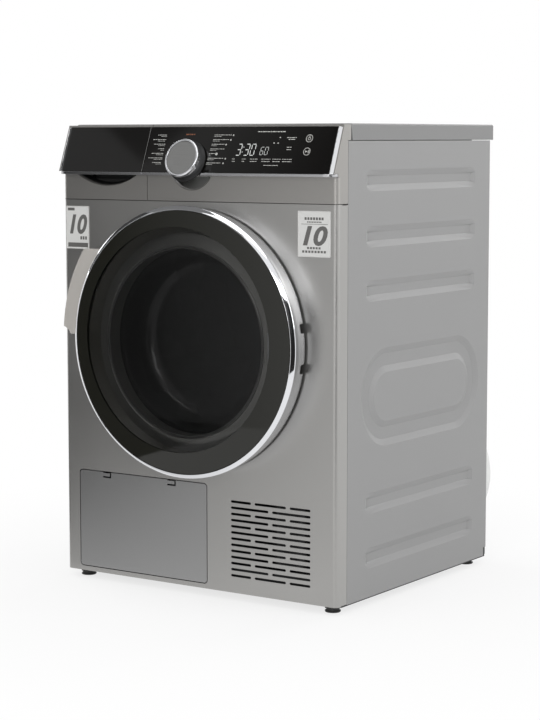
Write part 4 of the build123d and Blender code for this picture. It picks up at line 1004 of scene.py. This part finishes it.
def sheet_of_label(name, x, z, width, tall):
    """The label's own sheet, with rounded corners. x and z are its lower left corner."""
    obj = block(name, ((x + width / 2) * MM, depth(-PAPER_T / 2), (z + tall / 2) * MM),
                (width * MM, PAPER_T * MM, tall * MM))
    bpy.ops.object.mode_set(mode="EDIT")
    bpy.ops.mesh.select_all(action="DESELECT")
    bpy.ops.object.mode_set(mode="OBJECT")
    for edge in obj.data.edges:
        a, b = (obj.data.vertices[i].co for i in edge.vertices)
        edge.select = abs(a.y - b.y) > 0.5 * PAPER_T * MM
    bpy.ops.object.mode_set(mode="EDIT")
    bpy.ops.mesh.bevel(offset=CORNER_R * MM, segments=4)
    bpy.ops.object.mode_set(mode="OBJECT")
    return obj


def flat_block(x, z, width, tall):
    """A printed rectangle on a label, with its lower left corner at x and z."""
    bpy.ops.object.select_all(action="DESELECT")
    place = ((x + width / 2) * MM, depth(-PAPER_T - INK_LIFT), (z + tall / 2) * MM)
    bpy.ops.mesh.primitive_plane_add(size=1, location=place, rotation=(math.radians(90), 0, 0))
    obj = active_named("block")
    obj.scale = (width * MM, tall * MM, 1)
    return obj


def number(text, x, z, tall, slim):
    """A printed number with its lower left corner at x and z."""
    bpy.ops.object.select_all(action="DESELECT")
    bpy.ops.object.text_add()
    obj = bpy.context.active_object
    obj.data.body = text
    obj.data.offset = 0.035
    obj.data.shear = 0.25
    obj.data.resolution_u = 4
    bpy.ops.object.convert(target="MESH")
    obj = active_named("number")
    size = tall * MM / CAPITAL_SHARE
    obj.scale = (size * slim, size, 1)
    obj.rotation_euler = (math.radians(90), 0, 0)
    obj.location = (x * MM, depth(-PAPER_T - INK_LIFT), z * MM)
    return obj


def small_print(x, z, width, tall, count):
    """A row of short blocks."""
    pitch = width / count
    return [flat_block(x + i * pitch, z, 0.72 * pitch, tall) for i in range(count)]


print("label maker ready")

# %% [markdown]
# ## The two labels
# The left label sits at the panel's upper left, over the handle, and the right one at its upper
# right. Every mark is placed from its label's lower left corner, so a label can be moved as a whole.

# %% Two labels
LABEL_TALL = 78.5
LEFT_WIDE = 53.0
RIGHT_WIDE = 66.0
left_x, left_z = PANEL_LEFT / MM + 7.5, 617.5
right_x, right_z = PANEL_RIGHT / MM - 80.0, 618.5
left_marks = [
    flat_block(left_x + 3, left_z + 3, 47, 8),
    flat_block(left_x + 3, left_z + 70, 16, 5),
    number("10", left_x + 0.5, left_z + 29, 33, 0.92),
]
left_marks += small_print(left_x + 32, left_z + 17, 17, 6, 3)
right_marks = [
    flat_block(right_x + 6, right_z + 55.5, 54, 0.8),
    number("10", right_x + 1, right_z + 21, 31, 1.2),
]
right_marks += small_print(right_x + 13, right_z + 63, 40, 4.6, 7)
right_marks += small_print(right_x + 18, right_z + 58.4, 30, 2.2, 9)
right_marks += small_print(right_x + 18, right_z + 13.5, 29, 3.6, 5)
right_marks += small_print(right_x + 8, right_z + 7, 50, 4, 8)
for name, x, z, width, marks in (
        ("label_left", left_x, left_z, LEFT_WIDE, left_marks),
        ("label_right", right_x, right_z, RIGHT_WIDE, right_marks)):
    sheet = sheet_of_label(name, x, z, width, LABEL_TALL)
    printed = joined(marks, name + "_print")
    for piece, material in ((sheet, paper), (printed, label_ink)):
        paint(piece, material)
        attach(piece, "cabinet")
print("labels made")

# %% [markdown]
# ## Studio
# A plain white floor and soft lamps. The floor and the world look white to the camera, to mirrors and
# through glass, while they light the dryer at a plain level. The kind of ray tells them apart.

# %% White for the camera, plain for the light


def white_rays(tree):
    """A socket that is 1 on camera, glossy and transmission rays, and 0 on the light's own bounces."""
    rays = tree.nodes.new("ShaderNodeLightPath")
    camera_or_mirror = maths(tree, "MAXIMUM", rays.outputs["Is Camera Ray"], rays.outputs["Is Glossy Ray"])
    return maths(tree, "MAXIMUM", camera_or_mirror, rays.outputs["Is Transmission Ray"])


print("light paths ready")

# %% [markdown]
# ## Floor
# The floor glows plain white for the camera and in mirrors. Near the dryer a part of its own shading
# is kept, so that the dryer still throws a faint shadow. That part fades out with the distance.

# %% Floor
SHADOW_KEPT = 0.25
SHADOW_NEAR = 0.3
SHADOW_FAR = 1.1
bpy.ops.object.select_all(action="DESELECT")
bpy.ops.mesh.primitive_plane_add(size=80, location=(0, 0, 0))
floor = active_named("studio_floor")
floor_mat = bpy.data.materials.new("studio_floor")
floor_mat.use_nodes = True
tree, add, join = node_tools(floor_mat)
base = tree.nodes["Principled BSDF"]
base.inputs["Base Color"].default_value = (0.8, 0.8, 0.8, 1)
base.inputs["Roughness"].default_value = 0.9
glow = add("ShaderNodeEmission", Strength=1.0)
blend = add("ShaderNodeMixShader")
where = add("ShaderNodeTexCoord")
from_origin = add("ShaderNodeVectorMath")
from_origin.operation = "LENGTH"
join(where, "Object", from_origin, "Vector")
fade = add("ShaderNodeMapRange")
fade.inputs["From Min"].default_value = SHADOW_NEAR
fade.inputs["From Max"].default_value = SHADOW_FAR
fade.inputs["To Min"].default_value = 1 - SHADOW_KEPT
fade.inputs["To Max"].default_value = 1.0
join(from_origin, "Value", fade, "Value")
share = maths(tree, "MULTIPLY", white_rays(tree), fade.outputs["Result"])
tree.links.new(share, blend.inputs["Fac"])
tree.links.new(base.outputs["BSDF"], blend.inputs[1])
tree.links.new(glow.outputs["Emission"], blend.inputs[2])
join(blend, "Shader", tree.nodes["Material Output"], "Surface")
paint(floor, floor_mat)
print("the floor keeps", SHADOW_KEPT, "of its own shading near the dryer")

# %% [markdown]
# ## World
# The world lights the dryer as a large pale room would. It is plain white to the camera and in
# mirrors, and weaker as a light, so that pale pieces don't burn out.

# %% World
FILL = 0.42
world = bpy.data.worlds.new("studio")
bpy.context.scene.world = world
world.use_nodes = True
tree = world.node_tree
sky = tree.nodes["Background"]
sky.inputs["Color"].default_value = (1, 1, 1, 1)
level = tree.nodes.new("ShaderNodeMapRange")
level.inputs["To Min"].default_value = FILL
level.inputs["To Max"].default_value = 1.0
tree.links.new(white_rays(tree), level.inputs["Value"])
tree.links.new(level.outputs["Result"], sky.inputs["Strength"])
print("the world fills with", FILL)

# %% [markdown]
# ## Lamps and cards
# The lamps are large, so their light is soft. A metallic front shows what stands opposite it, so flat
# cards stand round it, some dark and some glowing. Their picture is what turns the upper left of the
# panel darker than its lower right. A card is seen only in reflections.

# %% Lamp and card makers


def lamp(name, place, aim, size, power):
    """A square softbox that faces a point."""
    data = bpy.data.lights.new(name, "AREA")
    data.shape = "SQUARE"
    data.size = size
    data.energy = power
    obj = bpy.data.objects.new(name, data)
    bpy.context.scene.collection.objects.link(obj)
    obj.location = place
    obj.rotation_euler = (Vector(aim) - Vector(place)).to_track_quat("-Z", "Y").to_euler()
    return obj


def card(name, place, aim, width, tall, left, right=None, start=0.0, stop=1.0):
    """A flat studio card, seen only in reflections.

    left and right are its glow at its two ends. The change lies between start and stop, as shares
    of its width.
    """
    bpy.ops.object.select_all(action="DESELECT")
    bpy.ops.mesh.primitive_plane_add(size=1)
    obj = active_named(name)
    obj.scale = (width, tall, 1)
    obj.location = place
    obj.rotation_euler = (Vector(aim) - Vector(place)).to_track_quat("Z", "Y").to_euler()
    mat = bpy.data.materials.new(name)
    mat.use_nodes = True
    tree, add, join = node_tools(mat)
    ramp = add("ShaderNodeMapRange")
    ramp.inputs["From Min"].default_value = 0.5 - start
    ramp.inputs["From Max"].default_value = 0.5 - stop
    ramp.inputs["To Min"].default_value = left
    ramp.inputs["To Max"].default_value = left if right is None else right
    tree.links.new(object_axes(tree)["X"], ramp.inputs["Value"])
    glow = add("ShaderNodeEmission")
    join(ramp, "Result", glow, "Strength")
    join(glow, "Emission", tree.nodes["Material Output"], "Surface")
    paint(obj, mat)
    obj.visible_camera = False
    obj.visible_shadow = False
    obj.visible_diffuse = False
    return obj


print("lamp and card makers ready")

# %% [markdown]
# ## Places of the lamps and cards
# The lamps stand on all sides and above. Most of the cards stand, hang or lie on the left, and a dark
# one stands close in front on the right.

# %% Set up the lamps and cards
centre = (0, 0, 0.45)
lamp("softbox_side", (3.2, 0.6, 2.0), centre, 2.2, 32)
lamp("softbox_top", (0.0, -1.2, 3.4), centre, 2.6, 30)
lamp("softbox_front", (1.6, -3.4, 1.6), centre, 1.6, 45)
lamp("softbox_left", (-3.2, 0.5, 2.0), centre, 2.2, 45)
lamp("softbox_back", (0.5, 3.4, 2.0), centre, 2.2, 50)
card("card_front_left", (-1.8, -1.75, 0.8), (-1.8, 0, 0.8), 3.4, 1.6, 0.02, 1.0, start=0.6, stop=0.93)
card("card_left", (-2.6, -0.35, 1.75), (0, -0.35, 1.75), 1.3, 1.7, 0.05)
card("card_high_left", (-1.8, -2.1, 2.6), (0, -0.3, 0.7), 4.0, 2.2, 0.65, 0.1, start=0.5, stop=0.6)
card("card_above_left", (-1.55, -0.7, 2.7), (0, -0.3, 0.65), 2.3, 1.5, 0.2)
card("card_camera", (1.0, -1.35, 0.52), (0.24, -0.3, 0.45), 0.9, 1.0, 0.02)
card("card_floor", (-1.9, -1.3, 0.004), (-1.9, -1.3, 1.0), 2.2, 2.2, 0.05)
card("card_floor_near", (-0.3, -0.66, 0.006), (-0.3, -0.66, 1.0), 1.0, 0.7, 0.5, 1.0, start=0.1)
print("5 lamps and 7 cards stand round the dryer")

# %% [markdown]
# ## Camera
# A long lens from the front right, a little above the middle of the machine and pointing slightly
# down, so that the vertical edges draw together towards the floor.

# %% Camera
AZIMUTH = math.radians(34.122)
DOWN = math.radians(6.333)
ROLL = math.radians(-0.041)
CAMERA_PLACE = (2.09943, -3.12362, 0.82022)
sight = Vector((-math.sin(AZIMUTH) * math.cos(DOWN), math.cos(AZIMUTH) * math.cos(DOWN), -math.sin(DOWN)))
level_right = Vector((math.cos(AZIMUTH), math.sin(AZIMUTH), 0))
level_up = level_right.cross(sight)
right = level_right * math.cos(ROLL) + level_up * math.sin(ROLL)
above = level_up * math.cos(ROLL) - level_right * math.sin(ROLL)
camera_data = bpy.data.cameras.new("camera")
camera_data.lens = 100.042
camera_data.sensor_width = 36
camera_data.clip_end = 60
camera = bpy.data.objects.new("camera", camera_data)
bpy.context.scene.collection.objects.link(camera)
turn = Matrix((right, above, -sight)).transposed().to_4x4()
camera.matrix_world = Matrix.Translation(CAMERA_PLACE) @ turn
bpy.context.scene.camera = camera
bpy.context.scene.view_settings.view_transform = "Standard"
print("camera lens", camera_data.lens)
